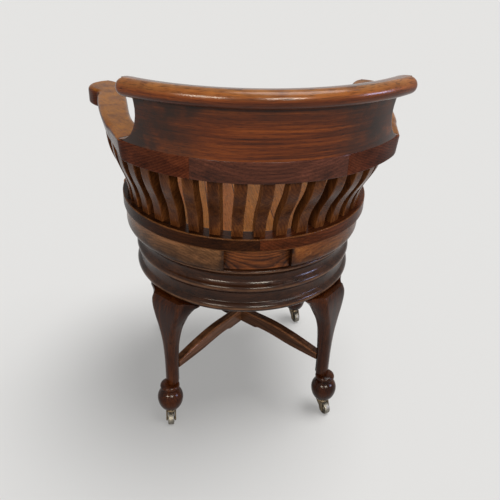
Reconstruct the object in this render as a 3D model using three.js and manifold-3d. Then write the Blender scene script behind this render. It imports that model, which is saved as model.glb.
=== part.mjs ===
// A revolving desk armchair of dark stained oak: a horseshoe arm rail with a tall rolled crest, a fan of
// ogee splats, a plank seat that turns on an iron pivot, and a turned base ring on four cabriole legs
// with ball feet and small brass castors.
// Millimetres. The swivel axis is x = y = 0 while modelling, the floor is z = 0, the front faces -Y and the
// sitter's left is +X. Angles in the plan are measured from the back (+Y) towards +X.
import * as THREE from 'three';
import { mergeVertices } from 'three/addons/utils/BufferGeometryUtils.js';
import Module from 'manifold-3d';

const wasm = await Module();
wasm.setup();

// Clearances
const fit = 0.3; // between two pieces that touch, and round a turning shaft
const overrun = 5; // how far a cutting body passes the face that it opens
const arris = 1.2; // rounding of a plain worked edge
const quarter = 90; // degrees
const roundingLimitShare = 0.45; // largest rounding of a bar's corner, of its smaller side

// Heights, from the floor up
const ringUnderside = 311;
const ringHeight = 90;
const turningGap = 2.5; // between the base ring and the seat frame that turns over it
const bearerThickness = 48.5;
const railThickness = 24;
const splatHeight = 137;
const hoopThickness = 34;
const crestHeight = 106;

// Horseshoe rail: back hoop and arms
const hoopRadius = 276;
const hoopCentreReach = 51; // centre of the hoop behind the swivel axis
const hoopWidth = 45;
const hoopJointAngle = 25; // where an arm is scarfed to the back hoop, about the hoop's centre
const armSplitAngle = 52.5; // where the arm leaves the circle
const armReach = 171; // front tip of a handhold, ahead of the swivel axis
const armHalfSpan = 306; // outermost point of a handhold
const armRounding = 7;

// Crest board
const crestCentreReach = 30; // centre of the rolled edge behind the swivel axis
const rollCentreRadius = 315;
const rollRadius = 13;
const rollEndAngle = 41.8;
const domeTipShare = 0.2; // how far short of its tip an ear is left flat, of one facet
const crestFaceInset = 10; // outer face inside the roll's centre line, where it runs into the roll
const crestHollow = 4; // how far the outer face is hollowed between foot and roll
const crestFootThickness = 38;
const crestTopThickness = 22;
const crestEndAngle = 40.8;
const crestFootAngle = 54;
const crestEndTopDrop = 9; // from the roll's centre down to where the concave end begins

// Splats and arm posts
const splatCount = 17;
const splatPitch = 9.4;
const splatWidth = 19.6;
const splatDepth = 21;
const splatFootInset = 10.5; // outer face behind the lower rail's outer face
const splatHeadInset = 22; // outer face behind the hoop's outer face
const ogeeShare = 0.62; // 0 is a straight splat, 1 is upright at both ends
const postAngle = 88.5;
const postWidth = 36;
const postDepth = 26;

// Lower rail, seat and seat frame
const railRadius = 242;
const railWidth = 31;
const railEndAngle = 99;
const seatThickness = 20.5;
const seatFrontRadius = 247;
const seatRounding = 4;
const bearerWidth = 119.4;
const bearerRadius = 219;
const felloeWidth = 66;
const leftFelloeRadius = 238;
const rightFelloeRadius = 233;
const felloeRounding = 15;

// Base ring and the bearer across it
const ringRadius = 222;
const ringBore = 150;
const ringHousingDepth = 34; // how far the cross bearer is let into the ring, along its length
const crossBearerWidth = 110;
const crossBearerThickness = 40;

// Swivel iron
const plateThickness = 6;
const topPlateLength = 176;
const topPlateWidth = 100;
const bottomPlateLength = 200;
const bottomPlateWidth = 92;
const plateCorner = 18;
const hubRadius = 27;
const spindleRadius = 12;
const spindleTail = 26; // below the bottom plate
const washerThickness = 2.4;
const washerRadius = 25;
const topHubLength = 20;
const socketFloor = 9; // metal left above the spindle
const nutAcross = 36;
const nutThickness = 10;
const nutWell = 25; // radius of the clearance hole in the cross bearer
const screwHeadRadius = 6;
const screwHeadRise = 2;

// Legs
const legAngle = 45;
const footRadius = 231; // from the swivel axis to the middle of a ball foot
const ballRadius = 26.4;
const ballDrop = 34.5; // half height of the egg that the lower half of a ball is turned to
const ballFlatShare = 0.89; // from a ball's centre down to the flat that seats its castor, of that drop
const collarRadius = 20;
const collarHeight = 15.4;
const collarNeckShare = 0.76; // radius of the groove between collar and ball, of the collar's
const ankleRadius = 223; // from the swivel axis to the middle of an ankle
const ankleSize = 22;
const kneeReach = 238;
const kneeShoulder = 9; // how far the knee draws in under the base ring
const kneeWidth = 70;
const bracketReach = 163; // inner end of a knee bracket
const earSpan = 28; // how far an ear runs out from the side of the knee, under the ring
const earTipDepth = 19; // from the knee's corner back to the tip of an ear
const earTip = 12; // thickness of the tip
const earHollow = 2;
const ankleCornerShare = 0.34; // corner rounding, of the leg's smaller side
const kneeCornerShare = 0.07;

// Stretchers
const stretcherWidth = 18;
const stretcherEndHeight = 133; // underside where a bar meets its legs
const stretcherEndDepth = 15;
const stretcherCrownHeight = 167; // top of the arch
const stretcherCentreDepth = 32;

// Castors
const wheelRadius = 13.5;
const wheelWidth = 12;
const axleRadius = 2.5;
const eyeRadius = 5.2; // end of a cheek, round the axle
const cheekThickness = 3;
const cheekGap = 14.4;
const cheekBackShare = 0.8; // width of a cheek's root on either side of the pin, of the crown's radius
const cheekFrontShare = 0.9;
const castorTrail = 11;
const crownRadius = 11.8;
const crownThickness = 3.6;
const crownClearance = 1.4; // above the wheel
const castorPlateRadius = 12.6;
const castorPlateThickness = 2.2;
const castorPinRadius = 3.6;
const castorAngles = { rear_left: 2, rear_right: -22, front_left: 14, front_right: -16 };

// Facets
const hoopSteps = 10;
const armSteps = 2; // between two plan points of the arm
const cornerSteps = 2; // round one corner
const splatSteps = 8;
const railSteps = 15;
const crestSteps = 20;
const rollSides = 12;
const ringSteps = 54;
const footSteps = 14;
const ballSteps = 6;
const legSteps = 16;
const smallSteps = 14;
const pinSteps = 8;
const wheelSteps = 20;
const screwSteps = 8;

// Heights that follow
const ringTop = ringUnderside + ringHeight;
const frameUnderside = ringTop + turningGap;
const frameTop = frameUnderside + bearerThickness;
const railTop = frameTop + railThickness;
const hoopUnderside = railTop + splatHeight;
const hoopTop = hoopUnderside + hoopThickness;
const crestTop = hoopTop + crestHeight;
const rollCentreHeight = crestTop - rollRadius;
const wheelTop = 2 * wheelRadius;
const crownUnderside = wheelTop + crownClearance;
const crownTop = crownUnderside + crownThickness;
const castorPlateUnderside = crownTop + fit;
const castorPlateTop = castorPlateUnderside + castorPlateThickness;
const footUnderside = castorPlateTop + fit;
const ballCentreHeight = footUnderside + ballFlatShare * ballDrop;

// Finishes
const darkOak = new THREE.MeshStandardMaterial({ color: 0x3a1c10, roughness: 0.32, metalness: 0 });
const crestOak = new THREE.MeshStandardMaterial({ color: 0x4d2410, roughness: 0.28, metalness: 0 });
const goldenOak = new THREE.MeshStandardMaterial({ color: 0xa5652b, roughness: 0.4, metalness: 0 });
const frameOak = new THREE.MeshStandardMaterial({ color: 0x6b3a1a, roughness: 0.4, metalness: 0 });
const iron = new THREE.MeshStandardMaterial({ color: 0x2d2b2a, roughness: 0.55, metalness: 0.85 });
const steel = new THREE.MeshStandardMaterial({ color: 0x77726b, roughness: 0.4, metalness: 0.9 });
const brass = new THREE.MeshStandardMaterial({ color: 0x6e5630, roughness: 0.42, metalness: 0.85 });

const chair = new THREE.Group();
const radians = THREE.MathUtils.degToRad;
const mix = THREE.MathUtils.lerp;
const at = (x, y, z) => new THREE.Vector3(x, y, z);
const plan = (x, y) => new THREE.Vector2(x, y);

// Point in the plan at a radius and an angle, about the swivel axis or a centre set back from it.
function polar(radius, angle, setBack = 0) {
  return plan(radius * Math.sin(radians(angle)), setBack + radius * Math.cos(radians(angle)));
}

function addMesh(name, geometry, material) {
  const mesh = new THREE.Mesh(geometry, material);
  mesh.name = name;
  chair.add(mesh);
  return mesh;
}

// Turns every face outwards, as a mirrored or backward sweep needs.
function faceOut(geometry) {
  const index = geometry.getIndex();
  const position = geometry.getAttribute('position');
  const corners = [at(0, 0, 0), at(0, 0, 0), at(0, 0, 0)];
  let volume = 0;
  for (let i = 0; i < index.count; i += 3) {
    corners.forEach((corner, k) => corner.fromBufferAttribute(position, index.getX(i + k)));
    volume += corners[0].dot(corners[1].clone().cross(corners[2]));
  }
  if (volume < 0) {
    for (let i = 0; i < index.count; i += 3) {
      const first = index.getX(i);
      index.setX(i, index.getX(i + 1));
      index.setX(i + 1, first);
    }
  }
  geometry.computeVertexNormals();
  return geometry;
}

function mirrored(geometry) {
  return faceOut(geometry.clone().scale(-1, 1, 1));
}

// Skins a row of rings of points and closes both ends. The end faces are triangulated on the outline that
// the ring has in its own plane.
function loft(rings, outline) {
  const count = outline.length;
  const index = [];
  for (let i = 0; i + 1 < rings.length; i++) {
    for (let j = 0; j < count; j++) {
      const near = i * count;
      const far = near + count;
      const next = (j + 1) % count;
      index.push(near + j, near + next, far + next, near + j, far + next, far + j);
    }
  }
  const end = (rings.length - 1) * count;
  const turn = Math.sign(THREE.ShapeUtils.area(outline));
  for (const face of THREE.ShapeUtils.triangulateShape(outline, [])) {
    const sameTurn = Math.sign(THREE.ShapeUtils.area(face.map((k) => outline[k]))) === turn;
    const [a, b, c] = sameTurn ? face : face.toReversed();
    index.push(c, b, a, end + a, end + b, end + c);
  }
  const geometry = new THREE.BufferGeometry().setFromPoints(rings.flat());
  geometry.setIndex(index);
  return faceOut(geometry);
}

// Outline of a rectangle with its own rounding at each corner, from the inner bottom corner round.
// A corner with no facet count is a plain chamfer.
function roundedOutline(width, height, roundings, facets = [1, 1, 1, 1]) {
  const [innerBottom, outerBottom, outerTop, innerTop] = roundings;
  const corners = [
    { u: innerBottom, v: innerBottom, radius: innerBottom, start: 2 * quarter },
    { u: width - outerBottom, v: outerBottom, radius: outerBottom, start: 3 * quarter },
    { u: width - outerTop, v: height - outerTop, radius: outerTop, start: 0 },
    { u: innerTop, v: height - innerTop, radius: innerTop, start: quarter },
  ];
  return corners.flatMap(({ u, v, radius, start }, corner) =>
    Array.from({ length: facets[corner] + 1 }, (_, k) => {
      const angle = radians(start + (quarter * k) / facets[corner]);
      return plan(u + radius * Math.cos(angle), v + radius * Math.sin(angle));
    }),
  );
}

// A moulded bar that lies flat between two curves of the plan. Each station gives the inner and the outer
// point and the corner roundings there.
function planBar(stations, bottom, height, facets) {
  const sections = stations.map(({ inner, outer, rounding }) => {
    const width = inner.distanceTo(outer);
    const limit = Math.min(width, height) * roundingLimitShare;
    return roundedOutline(width, height, rounding.map((r) => Math.min(r, limit)), facets);
  });
  const rings = stations.map(({ inner, outer }, i) => {
    const across = outer.clone().sub(inner).normalize();
    return sections[i].map((p) => at(inner.x + across.x * p.x, inner.y + across.y * p.x, bottom + p.y));
  });
  return loft(rings, sections[0]);
}

function toSolid(geometry) {
  const bare = new THREE.BufferGeometry();
  bare.setAttribute('position', geometry.getAttribute('position').clone());
  bare.setIndex(geometry.getIndex());
  const merged = mergeVertices(bare);
  const vertProperties = new Float32Array(merged.getAttribute('position').array);
  const triVerts = new Uint32Array(merged.getIndex().array);
  return new wasm.Manifold(new wasm.Mesh({ numProp: 3, vertProperties, triVerts }));
}

function toGeometry(solid) {
  const mesh = solid.getMesh();
  const geometry = new THREE.BufferGeometry();
  geometry.setAttribute('position', new THREE.BufferAttribute(mesh.vertProperties, 3));
  geometry.setIndex(new THREE.BufferAttribute(mesh.triVerts, 1));
  geometry.computeVertexNormals();
  return geometry;
}

function joined(...geometries) {
  return toGeometry(geometries.map(toSolid).reduce((sum, solid) => sum.add(solid)));
}

function cutFrom(geometry, ...cutters) {
  return toGeometry(cutters.map(toSolid).reduce((rest, cutter) => rest.subtract(cutter), toSolid(geometry)));
}

// Welds the corners of a lathed or extruded geometry into one closed skin.
function welded(geometry) {
  geometry.deleteAttribute('normal');
  geometry.deleteAttribute('uv');
  return faceOut(mergeVertices(geometry));
}

// A solid of revolution about the z axis, from [radius, height] pairs that close on themselves.
function turned(profile, steps, closed = true) {
  const points = profile.map(([radius, height]) => plan(radius, height));
  if (closed) points.push(points[0].clone());
  return welded(new THREE.LatheGeometry(points, steps).rotateX(Math.PI / 2));
}

function disc(radius, bottom, top, steps = smallSteps) {
  return turned([[0, bottom], [radius, bottom], [radius, top], [0, top]], steps, false);
}

function extruded(shape, height, bottom) {
  const settings = { depth: height, bevelEnabled: false, curveSegments: cornerSteps };
  return welded(new THREE.ExtrudeGeometry(shape, settings).translate(0, 0, bottom));
}

// As extruded, with every edge of the two flat faces rounded. The shape keeps its size.
function roundedSlab(shape, height, rounding, steps, curveSegments) {
  const settings = {
    depth: height - 2 * rounding,
    curveSegments,
    bevelThickness: rounding,
    bevelSize: rounding,
    bevelOffset: -rounding,
    bevelSegments: steps,
  };
  return new THREE.ExtrudeGeometry(shape, settings).translate(0, 0, rounding);
}

// A plan shape with straight sides at x = -halfWidth and halfWidth, and ends struck at one radius.
function roundEndedShape(halfWidth, radius) {
  const edge = Math.asin(halfWidth / radius);
  const shape = new THREE.Shape();
  shape.absarc(0, 0, radius, Math.PI / 2 - edge, Math.PI / 2 + edge, false);
  shape.absarc(0, 0, radius, (3 * Math.PI) / 2 - edge, (3 * Math.PI) / 2 + edge, false);
  shape.closePath();
  return shape;
}

// Back hoop: the middle third of the horseshoe, sawn to the hoop's circle, crisp where the crest stands.
const plainEdges = [arris, arris, arris, arris];

function hoopStation(angle, rounding = plainEdges) {
  const inner = polar(hoopRadius - hoopWidth, angle, hoopCentreReach);
  return { inner, outer: polar(hoopRadius, angle, hoopCentreReach), rounding };
}

const jointKerf = THREE.MathUtils.radToDeg(fit / hoopRadius) / 2;
const hoopStations = Array.from({ length: hoopSteps + 1 }, (_, k) => {
  const reach = hoopJointAngle - jointKerf;
  return hoopStation(mix(-reach, reach, k / hoopSteps));
});
addMesh('hoop_back', planBar(hoopStations, hoopUnderside, hoopThickness), darkOak);

// Arms: along the circle under the crest's foot, then a long easy curve to a flared handhold.
// Each pair is a share of the half span across and of the reach ahead.
const armOuterShares = [
  [0.775, -1.0], [0.806, -0.78], [0.835, -0.53], [0.861, -0.26], [0.882, 0.01], [0.898, 0.27],
  [0.917, 0.45], [0.967, 0.57], [1.0, 0.72], [0.991, 0.87], [0.945, 0.97], [0.899, 1.0],
];
const armInnerShares = [
  [0.645, -0.92], [0.674, -0.72], [0.693, -0.51], [0.709, -0.27], [0.724, 0.0], [0.739, 0.26],
  [0.752, 0.47], [0.765, 0.61], [0.779, 0.74], [0.799, 0.865], [0.832, 0.955], [0.868, 0.995],
];

function armStations() {
  const onCircle = Array.from({ length: hoopSteps / 2 }, (_, k) => {
    const start = hoopJointAngle + jointKerf;
    return mix(start, armSplitAngle, k / (hoopSteps / 2));
  });
  const split = hoopStation(armSplitAngle);
  const spread = ([across, ahead]) => plan(across * armHalfSpan, -ahead * armReach);
  const outerCurve = new THREE.SplineCurve([split.outer, ...armOuterShares.map(spread)]);
  const innerCurve = new THREE.SplineCurve([split.inner, ...armInnerShares.map(spread)]);
  const count = armOuterShares.length * armSteps;
  const free = Array.from({ length: count + 1 }, (_, k) => {
    const top = mix(arris, armRounding, Math.min(1, k / armSteps));
    const rounding = [armRounding / 2, armRounding / 2, top, top];
    return { inner: innerCurve.getPoint(k / count), outer: outerCurve.getPoint(k / count), rounding };
  });
  return [...onCircle.map((angle) => hoopStation(angle)), ...free];
}

const armLeft = planBar(armStations(), hoopUnderside, hoopThickness, [1, 1, cornerSteps, cornerSteps]);
addMesh('arm_left', armLeft, darkOak);
addMesh('arm_right', mirrored(armLeft), darkOak);

// Crest: a board whose faces lean and whose centre moves forward as it rises, its ends cut to a hollow
// curve, and a roll along the top that runs on past the board as two round-ended ears.
// Each pair is a height share from the hoop to the roll's centre, and a thickness share from the outer face.
const crestOutlineShares = [
  [0, 0], [0.05, 0], [0.14, 0], [0.28, 0], [0.5, 0], [0.8, 0],
  [1.0, 0.1], [1.125, -0.4], [1.1, 0.5], [1.04, 0.92], [0.93, 1.0],
  [0.5, 1.0], [0.28, 1.0], [0.14, 1.0], [0.05, 1.0], [0, 1.0],
];

function crestFace(rise) {
  const lean = mix(hoopRadius, rollCentreRadius - crestFaceInset, rise);
  return lean - crestHollow * 4 * rise * Math.max(0, 1 - rise);
}

function crestEnd(height) {
  const drop = rollCentreHeight - crestEndTopDrop;
  const fall = THREE.MathUtils.clamp((drop - height) / (drop - hoopTop), 0, 1);
  return mix(crestEndAngle, crestFootAngle, 1 - Math.sqrt(1 - fall * fall));
}

function crestPoint([rise, depthShare], along) {
  const height = mix(hoopTop, rollCentreHeight, rise);
  const thickness = mix(crestFootThickness, crestTopThickness, Math.min(1, rise));
  const centre = mix(hoopCentreReach, crestCentreReach, Math.min(1, rise));
  const spot = polar(crestFace(Math.min(1, rise)) - depthShare * thickness, along * crestEnd(height), centre);
  return at(spot.x, spot.y, height);
}

const crestRings = Array.from({ length: crestSteps + 1 }, (_, k) =>
  crestOutlineShares.map((pair) => crestPoint(pair, mix(-1, 1, k / crestSteps))),
);
const crestSection = crestOutlineShares.map((pair) => {
  const spot = crestPoint(pair, 0);
  return plan(spot.y, spot.z);
});

// The roll: a round bar on an arc, domed at both ends.
function crestRoll() {
  const domeSteps = rollSides / 4;
  const domeShares = Array.from({ length: domeSteps }, (_, k) => (k + domeTipShare) / domeSteps);
  const domeAngles = domeShares.map((share) => quarter * (1 - share));
  const reach = rollEndAngle - THREE.MathUtils.radToDeg(rollRadius / rollCentreRadius);
  const domed = (sign) =>
    domeAngles.map((angle) => {
      const forward = THREE.MathUtils.radToDeg((rollRadius * Math.sin(radians(angle))) / rollCentreRadius);
      return { angle: sign * (reach + forward), radius: rollRadius * Math.cos(radians(angle)) };
    });
  const body = Array.from({ length: crestSteps + 1 }, (_, k) => {
    return { angle: mix(-reach, reach, k / crestSteps), radius: rollRadius };
  });
  const stations = [...domed(-1), ...body, ...domed(1).toReversed()];
  const circle = Array.from({ length: rollSides }, (_, k) => radians((4 * quarter * k) / rollSides));
  const rings = stations.map(({ angle, radius }) =>
    circle.map((turn) => {
      const spot = polar(rollCentreRadius + radius * Math.cos(turn), angle, crestCentreReach);
      return at(spot.x, spot.y, rollCentreHeight + radius * Math.sin(turn));
    }),
  );
  const section = circle.map((turn) => plan(rollRadius * Math.cos(turn), rollRadius * Math.sin(turn)));
  return loft(rings, section);
}

addMesh('crest_board', joined(loft(crestRings, crestSection), crestRoll()), crestOak);

// Splats: flat staves sawn to an ogee, fanned round the rail and raked back to the hoop.
function stave(foot, head, angle, width, depth) {
  const across = polar(1, angle + quarter);
  const outward = polar(1, angle);
  const outline = roundedOutline(width, depth, plainEdges).map((p) => plan(p.x - width / 2, p.y - depth));
  const rings = Array.from({ length: splatSteps + 1 }, (_, k) => {
    const share = k / splatSteps;
    const sway = share - (ogeeShare * Math.sin(2 * Math.PI * share)) / (2 * Math.PI);
    const spot = foot.clone().lerp(head, sway);
    return outline.map((p) => {
      const x = spot.x + across.x * p.x + outward.x * p.y;
      const y = spot.y + across.y * p.x + outward.y * p.y;
      return at(x, y, mix(railTop, hoopUnderside, share));
    });
  });
  return loft(rings, outline);
}

// Radius of the horseshoe's outer edge about the hoop's centre, in the direction of an angle.
function horseshoeRadius(angle) {
  if (Math.abs(angle) <= armSplitAngle) return hoopRadius;
  const stations = armStations();
  const target = Math.abs(angle);
  const bearing = (p) => THREE.MathUtils.radToDeg(Math.atan2(p.x, p.y - hoopCentreReach));
  const after = stations.findIndex(({ outer }) => bearing(outer) >= target);
  const [a, b] = [stations[after - 1].outer, stations[after].outer];
  const share = (target - bearing(a)) / (bearing(b) - bearing(a));
  const edge = a.clone().lerp(b, share);
  return Math.hypot(edge.x, edge.y - hoopCentreReach);
}

function addStave(name, angle, width, depth) {
  const foot = polar(railRadius - splatFootInset, angle);
  const headInset = Math.min(splatHeadInset, horseshoeRadius(angle) - hoopRadius + hoopWidth - depth);
  const head = polar(horseshoeRadius(angle) - headInset, angle, hoopCentreReach);
  addMesh(name, stave(foot, head, angle, width, depth), darkOak);
}

for (let k = 0; k < splatCount; k++) {
  const angle = (k - (splatCount - 1) / 2) * splatPitch;
  addStave(`splat_${String(k + 1).padStart(2, '0')}`, angle, splatWidth, splatDepth);
}
addStave('arm_post_left', postAngle, postWidth, postDepth);
addStave('arm_post_right', -postAngle, postWidth, postDepth);

// Lower rail: two halves butted at the middle of the back.
const railKerf = THREE.MathUtils.radToDeg(fit / railRadius) / 2;
const railStations = Array.from({ length: railSteps + 1 }, (_, k) => {
  const angle = mix(railKerf, railEndAngle, k / railSteps);
  const inner = polar(railRadius - railWidth, angle);
  return { inner, outer: polar(railRadius, angle), rounding: plainEdges };
});
const railLeft = planBar(railStations, frameTop, railThickness);
addMesh('lower_rail_left', railLeft, darkOak);
addMesh('lower_rail_right', mirrored(railLeft), darkOak);

// Seat board: fills the rail at the back and comes out to a full round front with a rounded edge.
function seatShape() {
  const backRadius = railRadius - railWidth - fit;
  const stepGap = THREE.MathUtils.radToDeg(fit / railRadius);
  const side = radians(quarter - railEndAngle);
  const stepSide = radians(quarter - railEndAngle - stepGap);
  const shape = new THREE.Shape();
  shape.absarc(0, 0, backRadius, side, Math.PI - side, false);
  shape.absarc(0, 0, seatFrontRadius, Math.PI - stepSide, 2 * Math.PI + stepSide, false);
  shape.closePath();
  return shape;
}

const seat = roundedSlab(seatShape(), seatThickness, seatRounding, cornerSteps, railSteps);
addMesh('seat_board', welded(seat.translate(0, 0, frameTop)), goldenOak);

// Seat frame: a thick bearer from back to front, and a curved felloe on each side of it.
const bearerShape = roundEndedShape(bearerWidth / 2, bearerRadius);
addMesh('seat_bearer', extruded(bearerShape, bearerThickness, frameUnderside), frameOak);

function felloe(radius) {
  const side = bearerWidth / 2 + fit;
  const start = (r) => THREE.MathUtils.radToDeg(Math.asin(side / r));
  const inner = radius - felloeWidth;
  const rounding = [arris, felloeRounding, arris, arris];
  const stations = Array.from({ length: railSteps + 1 }, (_, k) => {
    const along = (r) => mix(start(r), 2 * quarter - start(r), k / railSteps);
    return { inner: polar(inner, along(inner)), outer: polar(radius, along(radius)), rounding };
  });
  return planBar(stations, frameUnderside, bearerThickness, [1, cornerSteps + 1, 1, 1]);
}

addMesh('side_felloe_left', felloe(leftFelloeRadius), frameOak);
addMesh('side_felloe_right', mirrored(felloe(rightFelloeRadius)), frameOak);

// Base ring: turned, with a top edge, a hollow, a middle bead, a band and a low bead.
// Each pair is how far the surface is drawn in, as a share of the ring's width, and a share of its height.
const ringProfileShares = [
  [0.13, 0], [0.03, 0.04], [0, 0.1], [0.03, 0.16], [0.11, 0.21], [0.12, 0.43], [0.05, 0.49],
  [0.02, 0.55], [0.05, 0.61], [0.13, 0.65], [0.16, 0.76], [0.11, 0.88], [0.01, 0.94], [0.02, 1],
];
const ringWidth = ringRadius - ringBore;
const ringOutline = ringProfileShares.map(([drawnIn, rise]) => {
  return [ringRadius - drawnIn * ringWidth, ringUnderside + rise * ringHeight];
});
const ringBody = turned([...ringOutline, [ringBore, ringTop], [ringBore, ringUnderside]], ringSteps);
const housingRadius = ringBore + ringHousingDepth;
const housing = extruded(
  roundEndedShape(crossBearerWidth / 2 + fit, housingRadius),
  crossBearerThickness + fit + overrun,
  ringUnderside - overrun,
).rotateZ(Math.PI / 2);
addMesh('base_ring', cutFrom(ringBody, housing), darkOak);

// Cross bearer: let into the ring from below, with a well for the spindle's nut.
const crossTop = ringUnderside + crossBearerThickness;
const crossBody = extruded(
  roundEndedShape(crossBearerWidth / 2, housingRadius - fit),
  crossBearerThickness,
  ringUnderside,
).rotateZ(Math.PI / 2);
const well = disc(nutWell, ringUnderside - overrun, crossTop + overrun);
addMesh('cross_bearer', cutFrom(crossBody, well), frameOak);

// Swivel iron: a plate on the cross bearer, a spindle nutted through it, a washer, and a plate with a
// socket under the seat bearer. The washer carries the seat.
const bottomPlateTop = crossTop + plateThickness;
const topPlateUnderside = frameUnderside - plateThickness;
const topHubUnderside = topPlateUnderside - topHubLength;
const washerTop = topHubUnderside - fit;
const washerUnderside = washerTop - washerThickness;
const bottomHubTop = washerUnderside;
const socketTop = frameUnderside - socketFloor;
const spindleTop = socketTop - fit;
const bore = (spindleRadius + fit) / Math.cos(Math.PI / smallSteps); // its flats clear the spindle's corners

function plate(length, width, bottom) {
  const [x, y, r] = [length / 2, width / 2, plateCorner];
  const shape = new THREE.Shape();
  shape.absarc(x - r, y - r, r, 0, Math.PI / 2, false);
  shape.absarc(r - x, y - r, r, Math.PI / 2, Math.PI, false);
  shape.absarc(r - x, r - y, r, Math.PI, (3 * Math.PI) / 2, false);
  shape.absarc(x - r, r - y, r, (3 * Math.PI) / 2, 2 * Math.PI, false);
  return extruded(shape, plateThickness, bottom);
}

// Domed screw heads near the four corners of a plate, pointing up (side 1) or down (side -1).
function screwHeads(length, width, seatHeight, side) {
  const rise = side * screwHeadRise;
  const sunk = seatHeight - (side * plateThickness) / 2;
  const shoulder = seatHeight + rise / 2;
  const head = [[0, sunk], [screwHeadRadius, sunk], [screwHeadRadius, shoulder], [0, seatHeight + rise]];
  return [[1, 1], [-1, 1], [-1, -1], [1, -1]].map(([sx, sy]) => {
    const inset = plateCorner;
    const place = [sx * (length / 2 - inset), sy * (width / 2 - inset)];
    return turned(head, screwSteps, false).translate(place[0], place[1], 0);
  });
}

const bottomPlate = joined(
  plate(bottomPlateLength, bottomPlateWidth, crossTop),
  disc(hubRadius, crossTop + plateThickness / 2, bottomHubTop),
  ...screwHeads(bottomPlateLength, bottomPlateWidth, bottomPlateTop, 1),
);
const bottomBore = disc(bore, crossTop - overrun, bottomHubTop + overrun);
addMesh('swivel_bottom_plate', cutFrom(bottomPlate, bottomBore), iron);

const topPlate = joined(
  plate(topPlateLength, topPlateWidth, topPlateUnderside),
  disc(hubRadius, topHubUnderside, topPlateUnderside + plateThickness / 2),
  ...screwHeads(topPlateLength, topPlateWidth, topPlateUnderside, -1),
);
addMesh('swivel_top_plate', cutFrom(topPlate, disc(bore, topHubUnderside - overrun, socketTop)), iron);

const washerOutline = [
  [bore, washerUnderside],
  [washerRadius, washerUnderside],
  [washerRadius, washerTop],
  [bore, washerTop],
];
addMesh('thrust_washer', turned(washerOutline, smallSteps), brass);

const tailEnd = crossTop - spindleTail;
addMesh('spindle', disc(spindleRadius, tailEnd, spindleTop), steel);

const hexSides = 6;
const nutRadius = nutAcross / 2 / Math.cos(Math.PI / hexSides);
const nutTop = crossTop - fit;
const nutBody = disc(nutRadius, nutTop - nutThickness, nutTop, hexSides);
addMesh('spindle_nut', cutFrom(nutBody, disc(bore, tailEnd - overrun, nutTop + overrun)), steel);

// Legs: a cabriole leg drawn in its own upright plane. Its square knee is bracketed under the ring and runs
// out on both sides into ears; below it come an ankle that is nearly round, a turned collar and a ball with a
// flat underneath for the castor.
// Each row: height share, knee share, shoulder share, bracket share, width share, ear share.
const legShares = [
  [0.0, 0.1, 0, 0, 0.02, 0],
  [0.13, 0.0, 0, 0, 0, 0],
  [0.3, 0.02, 0, 0.03, 0, 0],
  [0.49, 0.32, 0, 0.09, 0.08, 0],
  [0.66, 0.82, 0, 0.18, 0.34, 0],
  [0.79, 1.0, 0, 0.36, 0.72, 0.02],
  [0.87, 1.0, 0.05, 0.54, 0.9, 0.14],
  [0.94, 1.0, 0.3, 0.76, 0.97, 0.5],
  [1.0, 1.0, 1, 1, 1, 1],
];
const ballTopAngle = Math.acos((collarRadius * collarNeckShare) / ballRadius);
const ballTop = ballCentreHeight + ballRadius * Math.sin(ballTopAngle);
const collarTop = ballTop + collarHeight;

const sidePoints = legShares.map(([height, knee, shoulder]) => at(height, knee, shoulder));
const facePoints = legShares.map(([, , , bracket, width, ear]) => at(bracket, width, ear));
const sideCurve = new THREE.CatmullRomCurve3(sidePoints);
const faceCurve = new THREE.CatmullRomCurve3(facePoints);

// The leg at a share of the way along its curves: height, inner and outer radius, width, corner, ear share.
function legSection(share) {
  const side = sideCurve.getPoint(share);
  const face = faceCurve.getPoint(share);
  const outer = mix(ankleRadius + ankleSize / 2, kneeReach, side.y) - kneeShoulder * side.z;
  const inner = mix(ankleRadius - ankleSize / 2, bracketReach, face.x);
  const width = mix(ankleSize, kneeWidth, face.y);
  const corner = Math.min(width, outer - inner) * mix(ankleCornerShare, kneeCornerShare, face.y);
  const height = mix(collarTop - arris, ringUnderside, side.x);
  return { height, inner, outer, width, corner, ear: Math.max(0, face.z) };
}

// Radius of the leg's inner face at a height, along its straight facets.
function legInner(height) {
  const sections = Array.from({ length: legSteps + 1 }, (_, k) => legSection(k / legSteps));
  const above = sections.findIndex((section) => section.height >= height);
  const [low, high] = [sections[above - 1], sections[above]];
  return mix(low.inner, high.inner, (height - low.height) / (high.height - low.height));
}

// Outline of the leg in the plan, x across it and y outwards. Where there is no ear, the three points of
// the ear lie along the leg's side.
function legOutline({ inner, outer, width, corner, ear }) {
  const half = width / 2;
  const side = outer - inner - 2 * corner;
  const edge = outer - corner;
  const across = half + ear * earSpan;
  const tip = edge - mix(side / 2, earTipDepth, ear);
  const rightHalf = [
    plan(half - corner, inner),
    plan(half, inner + corner),
    plan(across, tip - mix(side / 4, earTip, ear)),
    plan(across, tip),
    plan((half + across) / 2, (edge + tip) / 2 - ear * earHollow),
    plan(half, edge),
    plan(half - corner * (1 - Math.SQRT1_2), outer - corner * (1 - Math.SQRT1_2)),
    plan(half - corner, outer),
  ];
  return [...rightHalf, ...rightHalf.map((p) => plan(-p.x, p.y)).toReversed()];
}

function legBody() {
  const sections = Array.from({ length: legSteps + 1 }, (_, k) => legSection(k / legSteps));
  const outlines = sections.map(legOutline);
  const rings = outlines.map((outline, i) => outline.map((p) => at(p.x, p.y, sections[i].height)));
  return loft(rings, outlines[legSteps]);
}

// Each pair is a share of the collar's radius and of its height.
const collarShares = [[0.78, 0.14], [0.97, 0.4], [1.0, 0.62], [0.84, 0.88]];

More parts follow.
